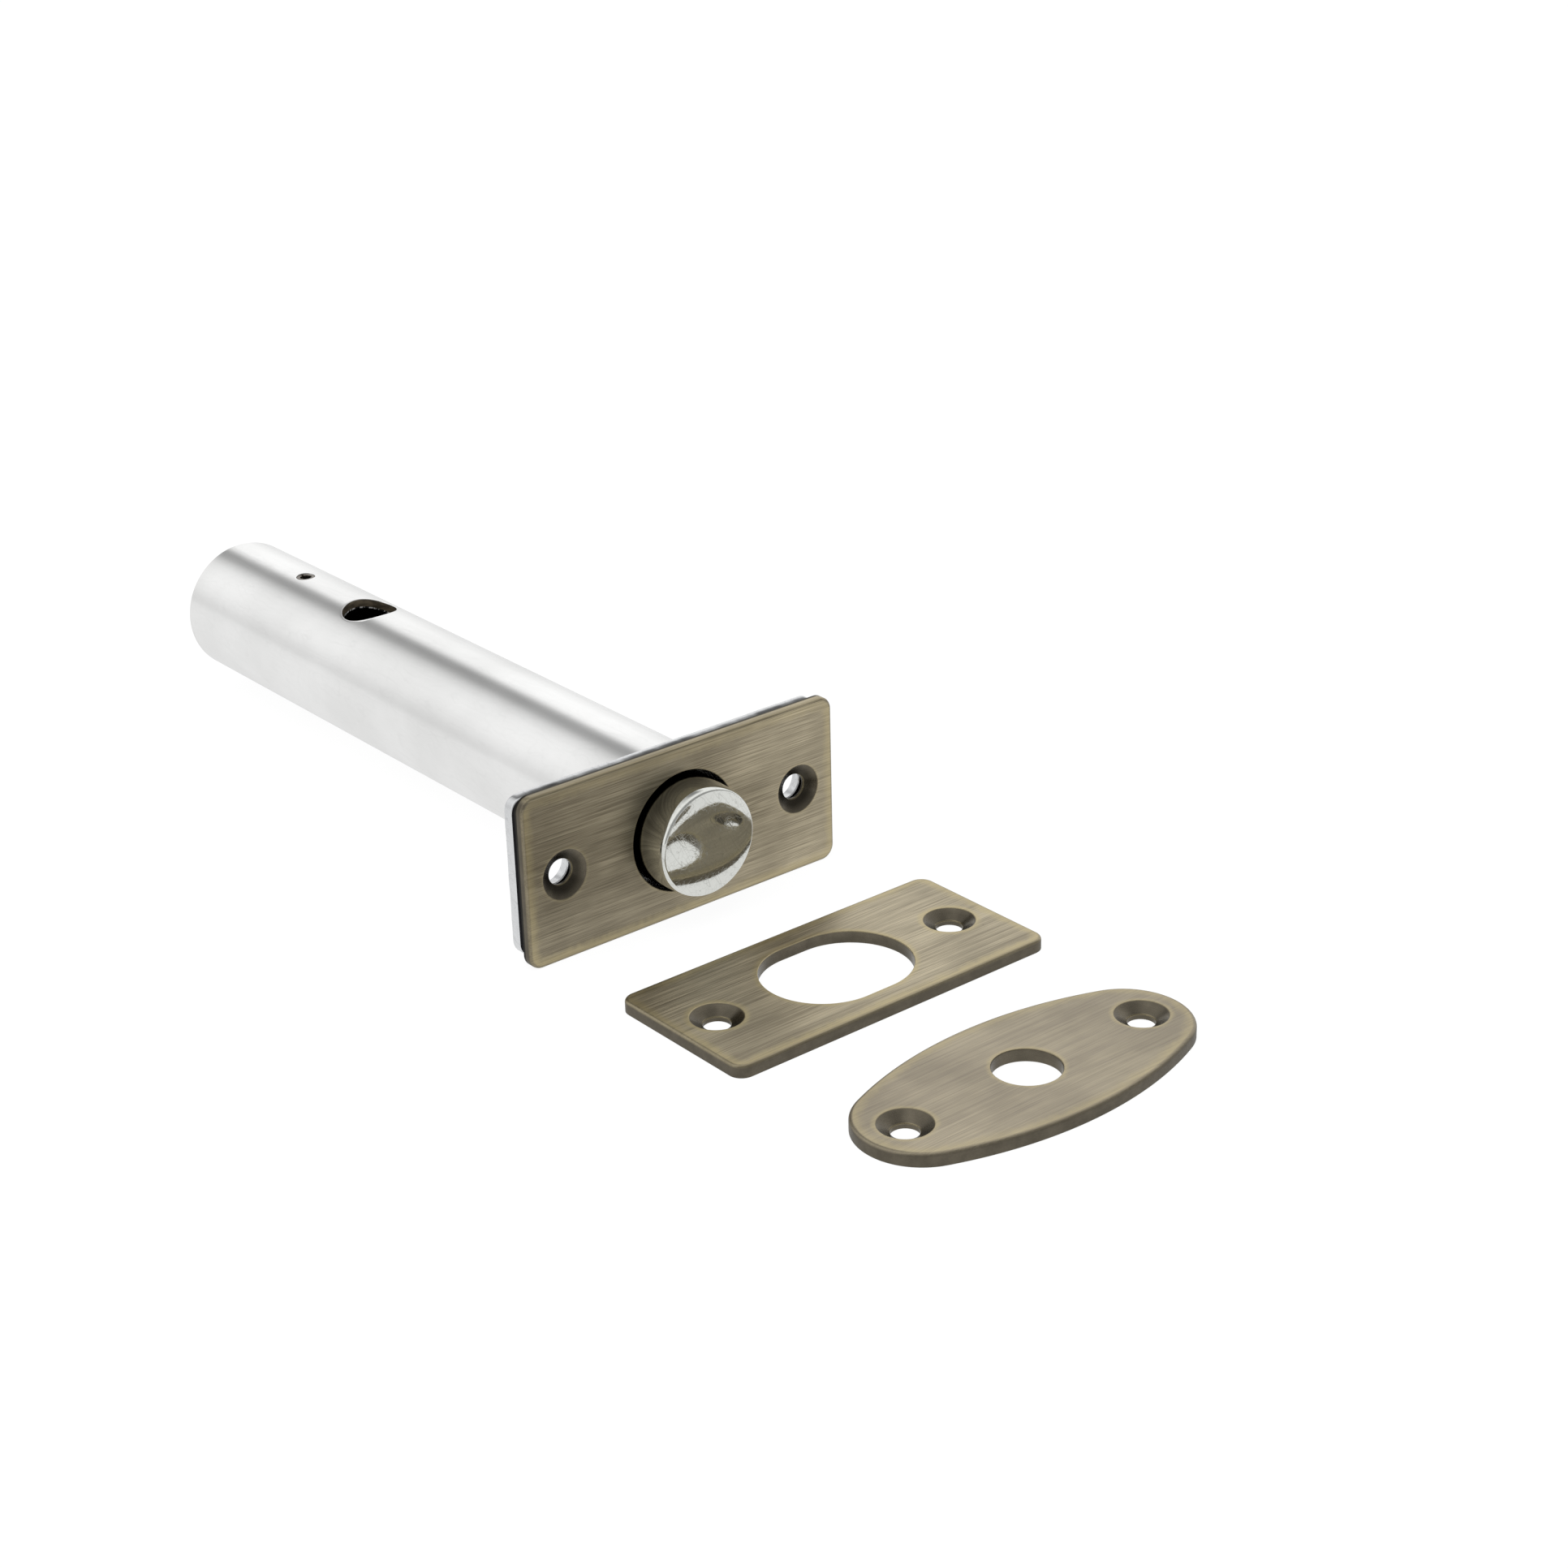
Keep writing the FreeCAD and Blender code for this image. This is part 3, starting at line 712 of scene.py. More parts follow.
def specks_group():
    """Small dark specks: cells of which only a few hold a dot."""
    group, start, end = new_group(
        "Specks",
        [("Vector", "NodeSocketVector", None), ("Scale", "NodeSocketFloat", 600.0), ("Size", "NodeSocketFloat", 0.12),
         ("Rarity", "NodeSocketFloat", 0.9)],
        [("Specks", "NodeSocketFloat")])
    w = Wiring(group)
    cells = w.node("ShaderNodeTexVoronoi", feature="F1")
    w.feed(cells.inputs["Vector"], start.outputs["Vector"])
    w.feed(cells.inputs["Scale"], start.outputs["Scale"])
    tint = w.node("ShaderNodeSeparateColor")
    w.feed(tint.inputs[0], cells.outputs["Color"])
    chosen = w.math("GREATER_THAN", tint.outputs[0], start.outputs["Rarity"])
    size = w.times(start.outputs["Size"], tint.outputs[1])
    dot = w.math("SUBTRACT", 1.0, w.math("DIVIDE", cells.outputs["Distance"], size), clamp=True)
    w.feed(end.inputs["Specks"], w.times(chosen, dot))
    return group


# Scratches: the three ways they run, as turns in radians, each with its weight; and how far the noise is drawn out
SCRATCH_WAYS = (((0.3, 0.5, 0.4), 1.0), ((1.1, 0.2, 2.0), 0.8), ((0.7, 1.6, 0.9), 0.6))
SCRATCH_STRETCH = (1.0, 0.07, 1.0)


def scratches_group():
    """Hairline scratches: thin ridges of three long noises laid across each other."""
    group, start, end = new_group(
        "Scratches",
        [("Vector", "NodeSocketVector", None), ("Fineness", "NodeSocketFloat", 900.0),
         ("Width", "NodeSocketFloat", 0.03)],
        [("Scratches", "NodeSocketFloat")])
    w = Wiring(group)
    total = None
    for turn, weight in SCRATCH_WAYS:
        mapping = w.node("ShaderNodeMapping", vector_type="TEXTURE")
        w.feed(mapping.inputs["Vector"], start.outputs["Vector"])
        mapping.inputs["Rotation"].default_value = turn
        drawn = w.stretch(mapping.outputs[0], SCRATCH_STRETCH)
        noise = w.noise(drawn, start.outputs["Fineness"], 1.0)
        gap = w.math("ABSOLUTE", w.math("SUBTRACT", noise, 0.5))
        ridge = w.math("SUBTRACT", 1.0, w.math("DIVIDE", gap, start.outputs["Width"]), clamp=True)
        ridge = w.times(ridge, weight)
        total = ridge if total is None else w.math("MAXIMUM", total, ridge)
    w.feed(end.inputs["Scratches"], total)
    return group


GROUPS = {"Brush streaks": streaks_group, "Edge wear": wear_group, "Specks": specks_group,
          "Scratches": scratches_group}


# Materials

def empty_tree(owner):
    """Node tree of a material or a world, emptied, and its wiring."""
    owner.use_nodes = True
    owner.node_tree.nodes.clear()
    return owner.node_tree, Wiring(owner.node_tree)


def new_material(name):
    """Material with a Principled shader, its wiring and the object coordinates."""
    material = bpy.data.materials.new(name)
    tree, w = empty_tree(material)
    shader = w.node("ShaderNodeBsdfPrincipled")
    output = w.node("ShaderNodeOutputMaterial")
    tree.links.new(shader.outputs[0], output.inputs["Surface"])
    coordinates = w.node("ShaderNodeTexCoord")
    return material, w, shader, coordinates.outputs["Object"]


def bump(w, shader, height, strength, distance):
    """Tilts the shader's normal by the slope of a height."""
    made = w.node("ShaderNodeBump")
    made.inputs["Strength"].default_value = strength
    made.inputs["Distance"].default_value = distance
    w.feed(made.inputs["Height"], height)
    w.feed(shader.inputs["Normal"], made.outputs[0])


def distance_mark(w, name):
    """Mark in millimetres that the mesh carries: rim_mm from the outline or hole_mm from the nearest hole."""
    return w.node("ShaderNodeAttribute", attribute_name=name, attribute_type="GEOMETRY").outputs["Fac"]


# Looks of the brass plates, as antique_brass explains them
FACE_LOOK = {"softness": 0.145, "sink_painted_shade": 0.36, "shine": 0.20, "border": 0.58, "painted_light_gain": (0.90, 1.40)}
KEEP_LOOK = {"softness": 0.175, "sink_painted_shade": 0.80, "shine": 0.75, "border": 0.75, "painted_light_gain": (1.32, 1.34)}
OVAL_LOOK = {"softness": 0.26, "sink_painted_shade": 1.0, "shine": 0.50, "border": 0.50, "painted_light_gain": (1.08, 0.97)}
OVAL_LIGHT = 1.1

# Middle of the streaks' tone, how far from the plate's middle the painted light of its gain is full, and the darker
# clouds on the face
TONE_MIDDLE = 0.51
PAINTED_LIGHT_REACH = 0.03
CLOUD_SCALE, CLOUD_SHARE, CLOUD_SHADE = 60.0, 0.35, 0.62

# Millimetres of worn brass along the rim and round a hole
WEAR_BAND = 1.7
HOLE_WEAR_BAND, HOLE_WEAR_RAGGED = 0.25, 0.2

# The foot of a countersink's cone, in millimetres down from its rim, and the painted highlight there, a paler ring
CONE_FOOT, CONE_FOOT_HIGHLIGHT = 2.2, 0.30

# A standing plate: heights of the fade into painted light under its top and of the fade in its rim's wear, and the
# painted shade of its rear half
TOP_FADE, TOP_WEAR_FADE = 0.0006, 0.0022
REAR_PAINTED_SHADE = (0.004, 0.004, 0.004)


def antique_brass(name, finishes, face, light, softness, sink_painted_shade, shine, border, painted_light_gain, top=None):
    """Brushed antique brass: streaks along X, paler worn edges and rims, dark sides and turned countersinks.

    Softness is half the width of the streaks' tone ramp, sink the brightness at the bottom of the countersinks' cones
    as painted shade, and shine and border the shares of worn brass round the holes and along the rim. Gain is painted
    light: the face's brightness at the left and the right end. A plate with a top stands on edge: above that height its
    sides are as bright as the face, as painted light on its top side, and the sides' rear half is blackened as painted
    shade."""
    face, light, worn, dark = (tuple(item) for item in (face, light, finishes.brass_worn, finishes.brass_dark))
    material, w, shader, place = new_material(name)
    rim, hole = distance_mark(w, "rim_mm"), distance_mark(w, "hole_mm")
    x, _, z = w.parts(place)
    brush = w.use("Brush streaks", Vector=place)
    hairs, lines = brush["Hairs"], brush["Lines"]
    tone = 0.0
    for label, (*_, share) in STREAKS.items():
        tone = w.math("ADD", tone, w.times(brush[label], share))
    tone = w.ramp(tone, TONE_MIDDLE - softness, TONE_MIDDLE + softness)
    colour_face = w.mix(tone, face, light)
    cloud = w.ramp(w.noise(place, CLOUD_SCALE, 3.0, 0.55), 0.35, 0.68)
    colour_face = w.mix(w.times(cloud, CLOUD_SHARE), colour_face, tinted(face, CLOUD_SHADE))
    # Painted light: the face grows brighter or darker from one end to the other by the gain
    colour_face = w.shade(colour_face, w.ramp(x, -PAINTED_LIGHT_REACH, PAINTED_LIGHT_REACH, *painted_light_gain))

    outer = w.use("Edge wear", Vector=place, Distance=rim, Band=WEAR_BAND, Ragged=WEAR_BAND)
    inner = w.use("Edge wear", Vector=place, Distance=hole, Band=HOLE_WEAR_BAND + shine,
                  Ragged=HOLE_WEAR_RAGGED + shine)
    rounding = w.ramp(rim, 0.15, -0.25, 0.0, 1.0)
    below = outer["Below"]
    rear = 0.0
    if top:
        # Painted light: on a standing plate's top side the dark sides and rounding give way to the bright face colour
        standing = w.ramp(z, top - TOP_FADE, top, 1.0, 0.12)
        rounding, below = w.times(rounding, standing), w.times(below, standing)
        border = w.ramp(z, top - TOP_WEAR_FADE, top, border, 0.45 * border)
        # Painted shade: the rear half of a standing plate's sides is blackened
        rear = w.times(w.ramp(rim, -1.25, -1.5, 0.0, 0.9), w.ramp(rim, -8.0, -7.0, 0.0, 1.0))
    on_face = w.math("SUBTRACT", border, w.times(rounding, 0.36))
    worn_share = w.math("MAXIMUM", w.times(outer["Worn"], on_face), w.times(inner["Worn"], shine))
    colour_face = w.mix(w.times(worn_share, w.ramp(lines, 0.2, 0.6, 0.55, 1.0)), colour_face, worn)
    # Painted shade: the rounded upper edge is darkened towards dark brass
    colour_face = w.mix(w.times(rounding, 0.45), colour_face, tinted(dark, 1.3))

    side = w.math("MAXIMUM", below, w.ramp(hole, -0.02, -0.25, 0.0, 1.0))
    blotch = w.noise(place, 420.0, 4.0, 0.6)
    colour_side = w.mix(w.ramp(blotch, 0.3, 0.75), dark, tinted(dark, 1.35))
    down_hole = w.node("ShaderNodeCombineXYZ")
    w.feed(down_hole.inputs[0], hole)
    rings = w.noise(w.stretch(down_hole.outputs[0], (26.0, 0.0, 0.0)), 1.0, 2.0, 0.5)
    colour_side = w.shade(colour_side, w.ramp(rings, 0.4, 0.7, 0.85, 1.2))
    # Painted shade: each countersink's cone darkens towards its bottom, down to the brightness sink
    colour_side = w.shade(colour_side, w.ramp(hole, -0.1, -1.5, 1.0, sink_painted_shade))
    # Painted highlight: a thin paler ring at the foot of the cone
    foot = w.ramp(w.math("ABSOLUTE", w.math("ADD", hole, CONE_FOOT)), 0.05, 0.16, 1.0, 0.0)
    colour_side = w.mix(w.times(foot, CONE_FOOT_HIGHLIGHT), colour_side, worn)

    colour_all = w.mix(rear, w.mix(side, colour_face, colour_side), REAR_PAINTED_SHADE)
    dots = w.use("Specks", Vector=place, Scale=430.0, Size=0.10, Rarity=0.93)["Specks"]
    w.feed(shader.inputs["Base Color"], w.mix(w.times(dots, 0.6), colour_all, tinted(dark, 0.5)))
    shader.inputs["Metallic"].default_value = 1.0
    rough = w.ramp(hairs, 0.3, 0.7, 0.33, 0.46)
    polish = w.ramp(hole, -0.1, -0.4, 0.06, -0.12)
    w.feed(shader.inputs["Roughness"], w.math("ADD", rough, w.times(side, polish)))
    relief = w.math("ADD", w.times(hairs, 0.6), w.times(lines, 0.4))
    relief = w.times(relief, w.math("SUBTRACT", 1.0, side))
    bump(w, shader, w.math("ADD", relief, w.times(rings, w.times(side, 0.5))), 0.35, 0.00004)
    return material


# Looks of the plated metals, as plated_metal explains them
CASTING_LOOK = {"roughness": 0.24, "grain": (900.0, 900.0, 900.0), "fineness": 700.0, "marks": 0.10, "relief": 0.35,
                "shade": 0.12}
TUBE_LOOK = {"roughness": 0.20, "grain": (1500.0, 130.0, 1500.0), "fineness": 420.0, "marks": 0.02, "relief": 0.0,
             "shade": 0.06, "uneven": 0.07}
BOLT_LOOK = {"roughness": 0.05, "grain": (900.0, 900.0, 900.0), "fineness": 900.0, "marks": 0.14, "relief": 0.10,
             "shade": 0.09}
STEEL_LOOK = {"roughness": 0.32, "grain": (1400.0, 1400.0, 300.0), "fineness": 900.0, "marks": 0.1, "relief": 0.4}
PLUG_LOOK = {"roughness": 0.30, "grain": (1700.0, 1700.0, 1700.0), "fineness": 800.0, "marks": 0.08, "relief": 0.35}


def plated_metal(name, base, roughness, grain, fineness, marks, relief, shade=0.25, uneven=0.18, stain=None,
                 tint=None):
    """Plated or satin metal: fine grain drawn out by the given scale, faint scratches, specks and soft tone changes.

    Fineness is the scratches' scale, marks their share and relief the strength of the bump. Shade is the grain's share
    in the colour and uneven its share in the roughness. A stain colours the walls of holes, where the mark hole_mm is
    below zero, but for a pale line at their lower end, a painted highlight. A tint of (axis, from, to, factor, lowest
    z)
    is painted shade: it darkens the metal by the factor from one place to the other along that axis."""
    found = bpy.data.materials.get(name)
    if found:
        return found
    base = tuple(base)
    material, w, shader, place = new_material(name)
    shader.inputs["Metallic"].default_value = 1.0
    fine = w.noise(w.stretch(place, grain), 1.0, 3.0, 0.6)
    tone = w.noise(place, 45.0, 3.0, 0.5)
    colour_all = w.mix(w.ramp(tone, 0.3, 0.7), tinted(base, 0.94), tuple(min(1.0, 1.05 * c) for c in base))
    colour_all = w.mix(w.ramp(fine, 0.25, 0.75, 0.0, shade), colour_all, tinted(base, 0.80))
    lines = w.use("Scratches", Vector=place, Fineness=fineness, Width=0.012)["Scratches"]
    dots = w.use("Specks", Vector=place, Scale=260.0, Size=0.06, Rarity=0.95)["Specks"]
    colour_all = w.mix(w.times(dots, 0.5), colour_all, tinted(base, 0.35))
    colour_all = w.mix(w.times(lines, 3.0 * marks), colour_all, tinted(base, 0.45))
    rough = w.ramp(fine, 0.3, 0.7, roughness * (1 - uneven), roughness * (1 + uneven))
    rough = w.math("ADD", rough, w.times(lines, marks))
    if stain:
        depth = distance_mark(w, "hole_mm")
        # The stain is oxide; it fades out at the inner lip, leaving a pale line there as a painted highlight
        inside = w.times(w.ramp(depth, -0.06, -0.16, 0.0, 1.0), w.ramp(depth, -1.24, -1.36, 1.0, 0.2))
        crust = w.ramp(w.noise(w.stretch(place, (1.0, 1.0, 2.5)), 520.0, 3.0, 0.55), 0.35, 0.65)
        colour_all = w.mix(inside, colour_all, w.mix(crust, stain, tinted(stain, 2.6)))
        rough = w.math("ADD", rough, w.times(inside, 0.12))
        w.feed(shader.inputs["Metallic"], w.ramp(depth, -0.06, -0.3, 1.0, 0.45))
    # Painted shade: the tint darkens the metal between two places along one axis
    if tint:
        axis, low, high, factor, lowest = tint
        parts = w.parts(place)
        share = w.times(w.ramp(parts[axis], low, high), w.ramp(parts[2], lowest, lowest + 0.0003))
        colour_all = w.mix(share, colour_all, tinted(base, factor))
    w.feed(shader.inputs["Base Color"], colour_all)
    w.feed(shader.inputs["Roughness"], rough)
    if relief:
        bump(w, shader, w.math("SUBTRACT", fine, w.times(lines, 0.3)), relief, 0.00003)
    return material


def rubber(name, base):
    """Matt black rubber with a fine mottled skin."""
    material, w, shader, place = new_material(name)
    skin = w.noise(place, 1500.0, 4.0, 0.65)
    w.feed(shader.inputs["Base Color"], w.mix(w.ramp(skin, 0.45, 0.8), tuple(base), tinted(base, 1.8)))
    shader.inputs["Specular IOR Level"].default_value = 0.12
    w.feed(shader.inputs["Roughness"], w.ramp(skin, 0.3, 0.7, 0.8, 0.95))
    bump(w, shader, skin, 0.2, 0.00003)
    return material


# The floor's own glow to the camera, how much of it the metal doesn't see, and how much of the paint is left out
FLOOR_GLOW, FLOOR_GLOW_LOST, FLOOR_DIM = 0.92, 0.22, 0.87


def studio_floor(name, base):
    """White floor that keeps the shadow: it shows white to the camera and in the metal, and lights as plain paint."""
    material = bpy.data.materials.new(name)
    tree, w = empty_tree(material)
    paint = w.node("ShaderNodeBsdfDiffuse")
    glow = w.node("ShaderNodeEmission")
    place = w.node("ShaderNodeTexCoord").outputs["Object"]
    mottle = w.ramp(w.noise(place, 30.0, 2.0, 0.5), 0.3, 0.7, 0.99, 1.0)
    w.feed(paint.inputs["Color"], w.shade(base, mottle))
    seen, mirrored = seen_directly(w)
    strength = w.math("SUBTRACT", w.times(seen, FLOOR_GLOW), w.times(mirrored, FLOOR_GLOW_LOST))
    w.feed(glow.inputs["Strength"], strength)
    both = w.node("ShaderNodeAddShader")
    dim = w.node("ShaderNodeMixShader")
    black = w.node("ShaderNodeBsdfDiffuse")
    black.inputs["Color"].default_value = (0, 0, 0, 1)
    w.feed(dim.inputs[0], w.times(seen, FLOOR_DIM))
    tree.links.new(paint.outputs[0], dim.inputs[1])
    tree.links.new(black.outputs[0], dim.inputs[2])
    tree.links.new(dim.outputs[0], both.inputs[0])
    tree.links.new(glow.outputs[0], both.inputs[1])
    output = w.node("ShaderNodeOutputMaterial")
    tree.links.new(both.outputs[0], output.inputs["Surface"])
    return material


def seen_directly(w):
    """Two masks: rays from the camera, off metal or through glass; and only those off metal."""
    path = w.node("ShaderNodeLightPath")
    mirrored = path.outputs["Is Glossy Ray"]
    seen = w.math("MAXIMUM", path.outputs["Is Camera Ray"], mirrored)
    return w.math("MAXIMUM", seen, path.outputs["Is Transmission Ray"]), mirrored


def finish(piece, material, body, slot, *nodes):
    """Gives a piece its material and body, and lets it stand for its CAD nodes. The slot is not used."""
    piece.data.materials.clear()
    piece.data.materials.append(material)
    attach(piece, body)
    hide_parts(*nodes)


# Operators

class RackBoltFacePlate(bpy.types.Operator):
    """Brushed face plate with a punched hole for the bolt and two countersunk holes"""
    bl_idname = "rack_bolt.face_plate"
    bl_label = "Face Plate"

    def execute(self, context):
        sizes = context.scene.rack_bolt_plates
        finishes = context.scene.rack_bolt_finishes
        runs = rectangle_runs(sizes.plate_length, sizes.plate_height, sizes.corner_radius,
                              divide_at(sizes, sizes.face_hole_radius, sizes.sink_radius))
        holes = plate_holes(sizes, sizes.face_thickness, sizes.face_hole_radius, 0.0, sizes.rim_round)
        piece = build_plate("brushed_face_plate", sizes, runs, sizes.face_thickness, sizes.edge_round, holes,
                            stand_up(sizes.face_thickness))
        material = antique_brass("Antique brass face", finishes, finishes.brass, finishes.brass_light, **FACE_LOOK,
                                 top=FACE_TOP)
        finish(piece, material, "case", "antique_brass", "face_plate")
        return {"FINISHED"}


class RackBoltKeepPlate(bpy.types.Operator):
    """Brushed keep plate with an obround opening, lying in front of the bolt"""
    bl_idname = "rack_bolt.keep_plate"
    bl_label = "Keep Plate"

    def execute(self, context):
        sizes = context.scene.rack_bolt_plates
        finishes = context.scene.rack_bolt_finishes
        half = sizes.keep_hole_straight / 2
        runs = rectangle_runs(sizes.plate_length, sizes.plate_height, sizes.corner_radius,
                              divide_at(sizes, sizes.keep_hole_radius + half, sizes.sink_radius))
        holes = plate_holes(sizes, sizes.keep_thickness, sizes.keep_hole_radius, half, sizes.burr)
        piece = build_plate("brushed_keep_plate", sizes, runs, sizes.keep_thickness, sizes.edge_round, holes,
                            lay_down(KEEP_LOW, KEEP_HIGH))
        material = antique_brass("Antique brass", finishes, finishes.brass, finishes.brass_light, **KEEP_LOOK)
        finish(piece, material, "case", "antique_brass", "keep_plate")
        return {"FINISHED"}


class RackBoltEscutcheon(bpy.types.Operator):
    """Brushed oval escutcheon with a round key hole"""
    bl_idname = "rack_bolt.escutcheon"
    bl_label = "Escutcheon"

    def execute(self, context):
        sizes = context.scene.rack_bolt_plates
        finishes = context.scene.rack_bolt_finishes
        runs = oval_runs(sizes.oval_length, sizes.oval_height, sizes.oval_end_radius,
                         divide_at(sizes, sizes.oval_hole_radius, sizes.sink_radius))
        holes = plate_holes(sizes, sizes.oval_thickness, sizes.oval_hole_radius, 0.0, sizes.rim_round)
        piece = build_plate("brushed_escutcheon", sizes, runs, sizes.oval_thickness, sizes.oval_edge_round, holes,
                            lay_down(OVAL_LOW, OVAL_HIGH))
        material = antique_brass("Pale antique brass", finishes, finishes.oval_brass,
                                 tinted(finishes.brass_light, OVAL_LIGHT), **OVAL_LOOK)
        finish(piece, material, "case", "pale_antique_brass", "escutcheon")
        return {"FINISHED"}


# Waves of the cast edge: height, turns per millimetre along X and Y, and start, all for a sine
WAVES = ((1.0, 0.31, 0.9, 0.4), (0.6, 0.83, -0.5, 2.0), (0.4, 1.9, 1.4, 0.0), (0.25, 3.7, -2.2, 1.1))
BORE_CHAMFER = 0.0005

# Painted shade where the casting's bright skin goes dark towards the pad: axis, from, to, factor and lowest z
CASTING_PAINTED_SHADE = (1, 0.0043, 0.0035, 0.03, 0.0116)


def cast_edge(amount, thick):
    """Inward shift of a casting's edge: four sine waves of the place on it, strongest halfway up the edge."""
    def wander(outline, profile):
        x, y = outline[:, 0] * MM_PER_M, outline[:, 1] * MM_PER_M
        wave = sum(height * np.sin(along * x + across * y + start) for height, along, across, start in WAVES)
        share = np.clip(0.5 + wave / (2 * sum(height for height, *_ in WAVES)), 0, 1)
        strength = np.sin(np.pi * np.clip(profile[:, 1] / thick, 0, 1)) ** 0.5
        strength[0] = strength[-1] = 0.0
        return amount * strength[:, None] * share[None]
    return wander


class RackBoltCasting(bpy.types.Operator):
    """Zinc casting behind the pad: plate with a slightly wandering cast edge, boss and spigot"""
    bl_idname = "rack_bolt.casting"
    bl_label = "Casting"

    def execute(self, context):
        plates = context.scene.rack_bolt_plates
        case = context.scene.rack_bolt_case
        finishes = context.scene.rack_bolt_finishes
        thick, burr = case.casting_thickness, plates.burr
        runs = rectangle_runs(case.casting_length, case.casting_height, plates.corner_radius,
                              divide_at(plates, case.boss_radius, case.casting_screw_radius))
        hole = case.casting_screw_radius
        screw = fill_in([(hole + 2 * burr, thick), (hole, thick - 2 * burr), (hole + case.casting_draft, 0.0)],
                        WALL_STEP)
        side = plates.screw_spacing / 2
        bore, boss, spigot = case.spigot_bore, case.boss_radius, case.spigot_radius
        middle = np.array([(bore + BORE_CHAMFER, thick), (bore, thick - BORE_CHAMFER), (bore, -case.spigot_length),
                           (spigot, -case.spigot_length), (spigot, -case.boss_height), (boss, -case.boss_height),
                           (boss, 0.0)])
        upper = quarter_round(0.0, thick, case.casting_edge_round, 7)
        lower = upper[::-1] * [1, -1] + [0, thick]
        edge = np.concatenate([upper, [[0.0, 0.62 * thick], [0.0, 0.45 * thick]], lower])
        patches = plate(runs, thick, edge, ((-side, 0.0, screw), (0.0, 0.0, middle), (side, 0.0, screw)),
                        cast_edge(case.casting_wander, thick))
        piece = patches.build("cast_back_plate", stand_up(case.casting_front + thick))
        material = plated_metal("Zinc casting", finishes.casting, **CASTING_LOOK, tint=CASTING_PAINTED_SHADE)
        finish(piece, material, "case", "zinc_casting", "back_plate")
        return {"FINISHED"}


def spaced(start, *stops):
    """Stations from start on, with the given number of points up to each (stop, count)."""
    runs = []
    for stop, count in stops:
        runs.append(np.linspace(start, stop, count))
        start = stop
    return np.unique(np.concatenate(runs).round(9))


# Windows in the tube round the key hole and the pin's holes: half length, and half angle in degrees
KEY_WINDOW, PIN_WINDOW = (0.0062, 38), (0.0028, 16)

# Holes in the tube: width of their broken edge, the share of it at the point that rounds the edge, and the height of
# the lip at the inner rim, in widths of the break
HOLE_BREAK, HOLE_ROUNDING, HOLE_LIP = 0.00012, 0.3, 2.3

# Marks hole_mm down their walls: outer rim, rounding point, end of the break, lip and inner rim
HOLE_MARKS = np.array([[0.0], [-0.05], [-0.12], [-1.24], [-1.5]])


def tube_hole_wall(outer, inner, wide, small, side):
    """Rows down a hole's wall in the tube: wide rim, a break rounded by one point, then straight to the inner rim."""
    def height(radius, rim):
        return np.sqrt(radius ** 2 - rim["x"] ** 2)

    between = {way: HOLE_ROUNDING * wide[way] + (1 - HOLE_ROUNDING) * small[way] for way in ("x", "y")}
    bottom = side * height(inner, small)
    rows = ((wide, side * height(outer, wide)), (between, side * (height(outer, between) - HOLE_ROUNDING * HOLE_BREAK)),
            (small, side * (height(outer, small) - HOLE_BREAK)), (small, bottom + side * HOLE_LIP * HOLE_BREAK),
            (small, bottom))
    return np.stack([np.stack([rim["x"], rim["y"], z], axis=1) for rim, z in rows])


class RackBoltBarrel(bpy.types.Operator):
    """Satin barrel tube with its key hole and the two holes of the guide pin"""
    bl_idname = "rack_bolt.barrel"
    bl_label = "Barrel"

    def execute(self, context):
        case = context.scene.rack_bolt_case
        finishes = context.scene.rack_bolt_finishes
        outer, inner = case.tube_radius, case.tube_radius - case.tube_wall
        start, end = TUBE_LOW.y, TUBE_HIGH.y
        key, pin = case.key_station, case.pin_station
        (key_half, key_angle), (pin_half, pin_angle) = KEY_WINDOW, PIN_WINDOW
        stations = spaced(start, (key - key_half, 36), (key + key_half, 25), (pin - pin_half, 8), (pin + pin_half, 13),
                          (end - case.tube_rim, 10))
        pin_hole = (span_of(stations, pin - pin_half, pin + pin_half, pin_angle), pin, case.pin_hole_radius)
        key_hole = (span_of(stations, key - key_half, key + key_half, key_angle), key, case.key_radius)
        chamfer = case.tube_rim
        patches = Patches()
        for side, holes in ((1, (pin_hole, key_hole)), (-1, (pin_hole,))):
            wide = [round_window(stations, span, centre, radius + HOLE_BREAK) for span, centre, radius in holes]
            small = [round_window(stations, span, centre, radius) for span, centre, radius in holes]
            half_drum(patches, outer, stations, side, wide)
            half_drum(patches, inner, stations, side, small)
            for rims in zip(wide, small):
                patches.grid(tube_hole_wall(outer, inner, *rims, side), closed=True, hole=HOLE_MARKS)
            turned(patches, [(outer, end - chamfer), (outer - chamfer, end), (inner, end), (inner, end - chamfer)],
                   side)
            turned(patches, [(outer, start), (inner, start)], side)
        piece = patches.build("satin_barrel")
        material = plated_metal("Satin tube", finishes.tube, **TUBE_LOOK, stain=tuple(finishes.oxide))
        finish(piece, material, "case", "satin_tube", "barrel")
        return {"FINISHED"}


# Nose: points from its middle to its flank, how they crowd outwards, the dome's power, and points of the worn edge
NOSE_POINTS, NOSE_CROWDING, DOME_POWER, EDGE_POINTS = 33, 0.7, 5, 17

# Windows in the shank round the slot and the detent pocket: how far past their ends, and half angle in degrees
SLOT_AHEAD, SLOT_BEHIND, SLOT_ANGLE = 0.002, 0.0012, 44
DETENT_HALF, DETENT_ANGLE = 0.004, 24

# Painted shade where the nose's side darkens towards the plate: from and to, behind the nose's front, and the factor
NOSE_PAINTED_SHADE = (0.0005, 0.0045, 0.33)
TOOTH_ROOTED = 0.0001


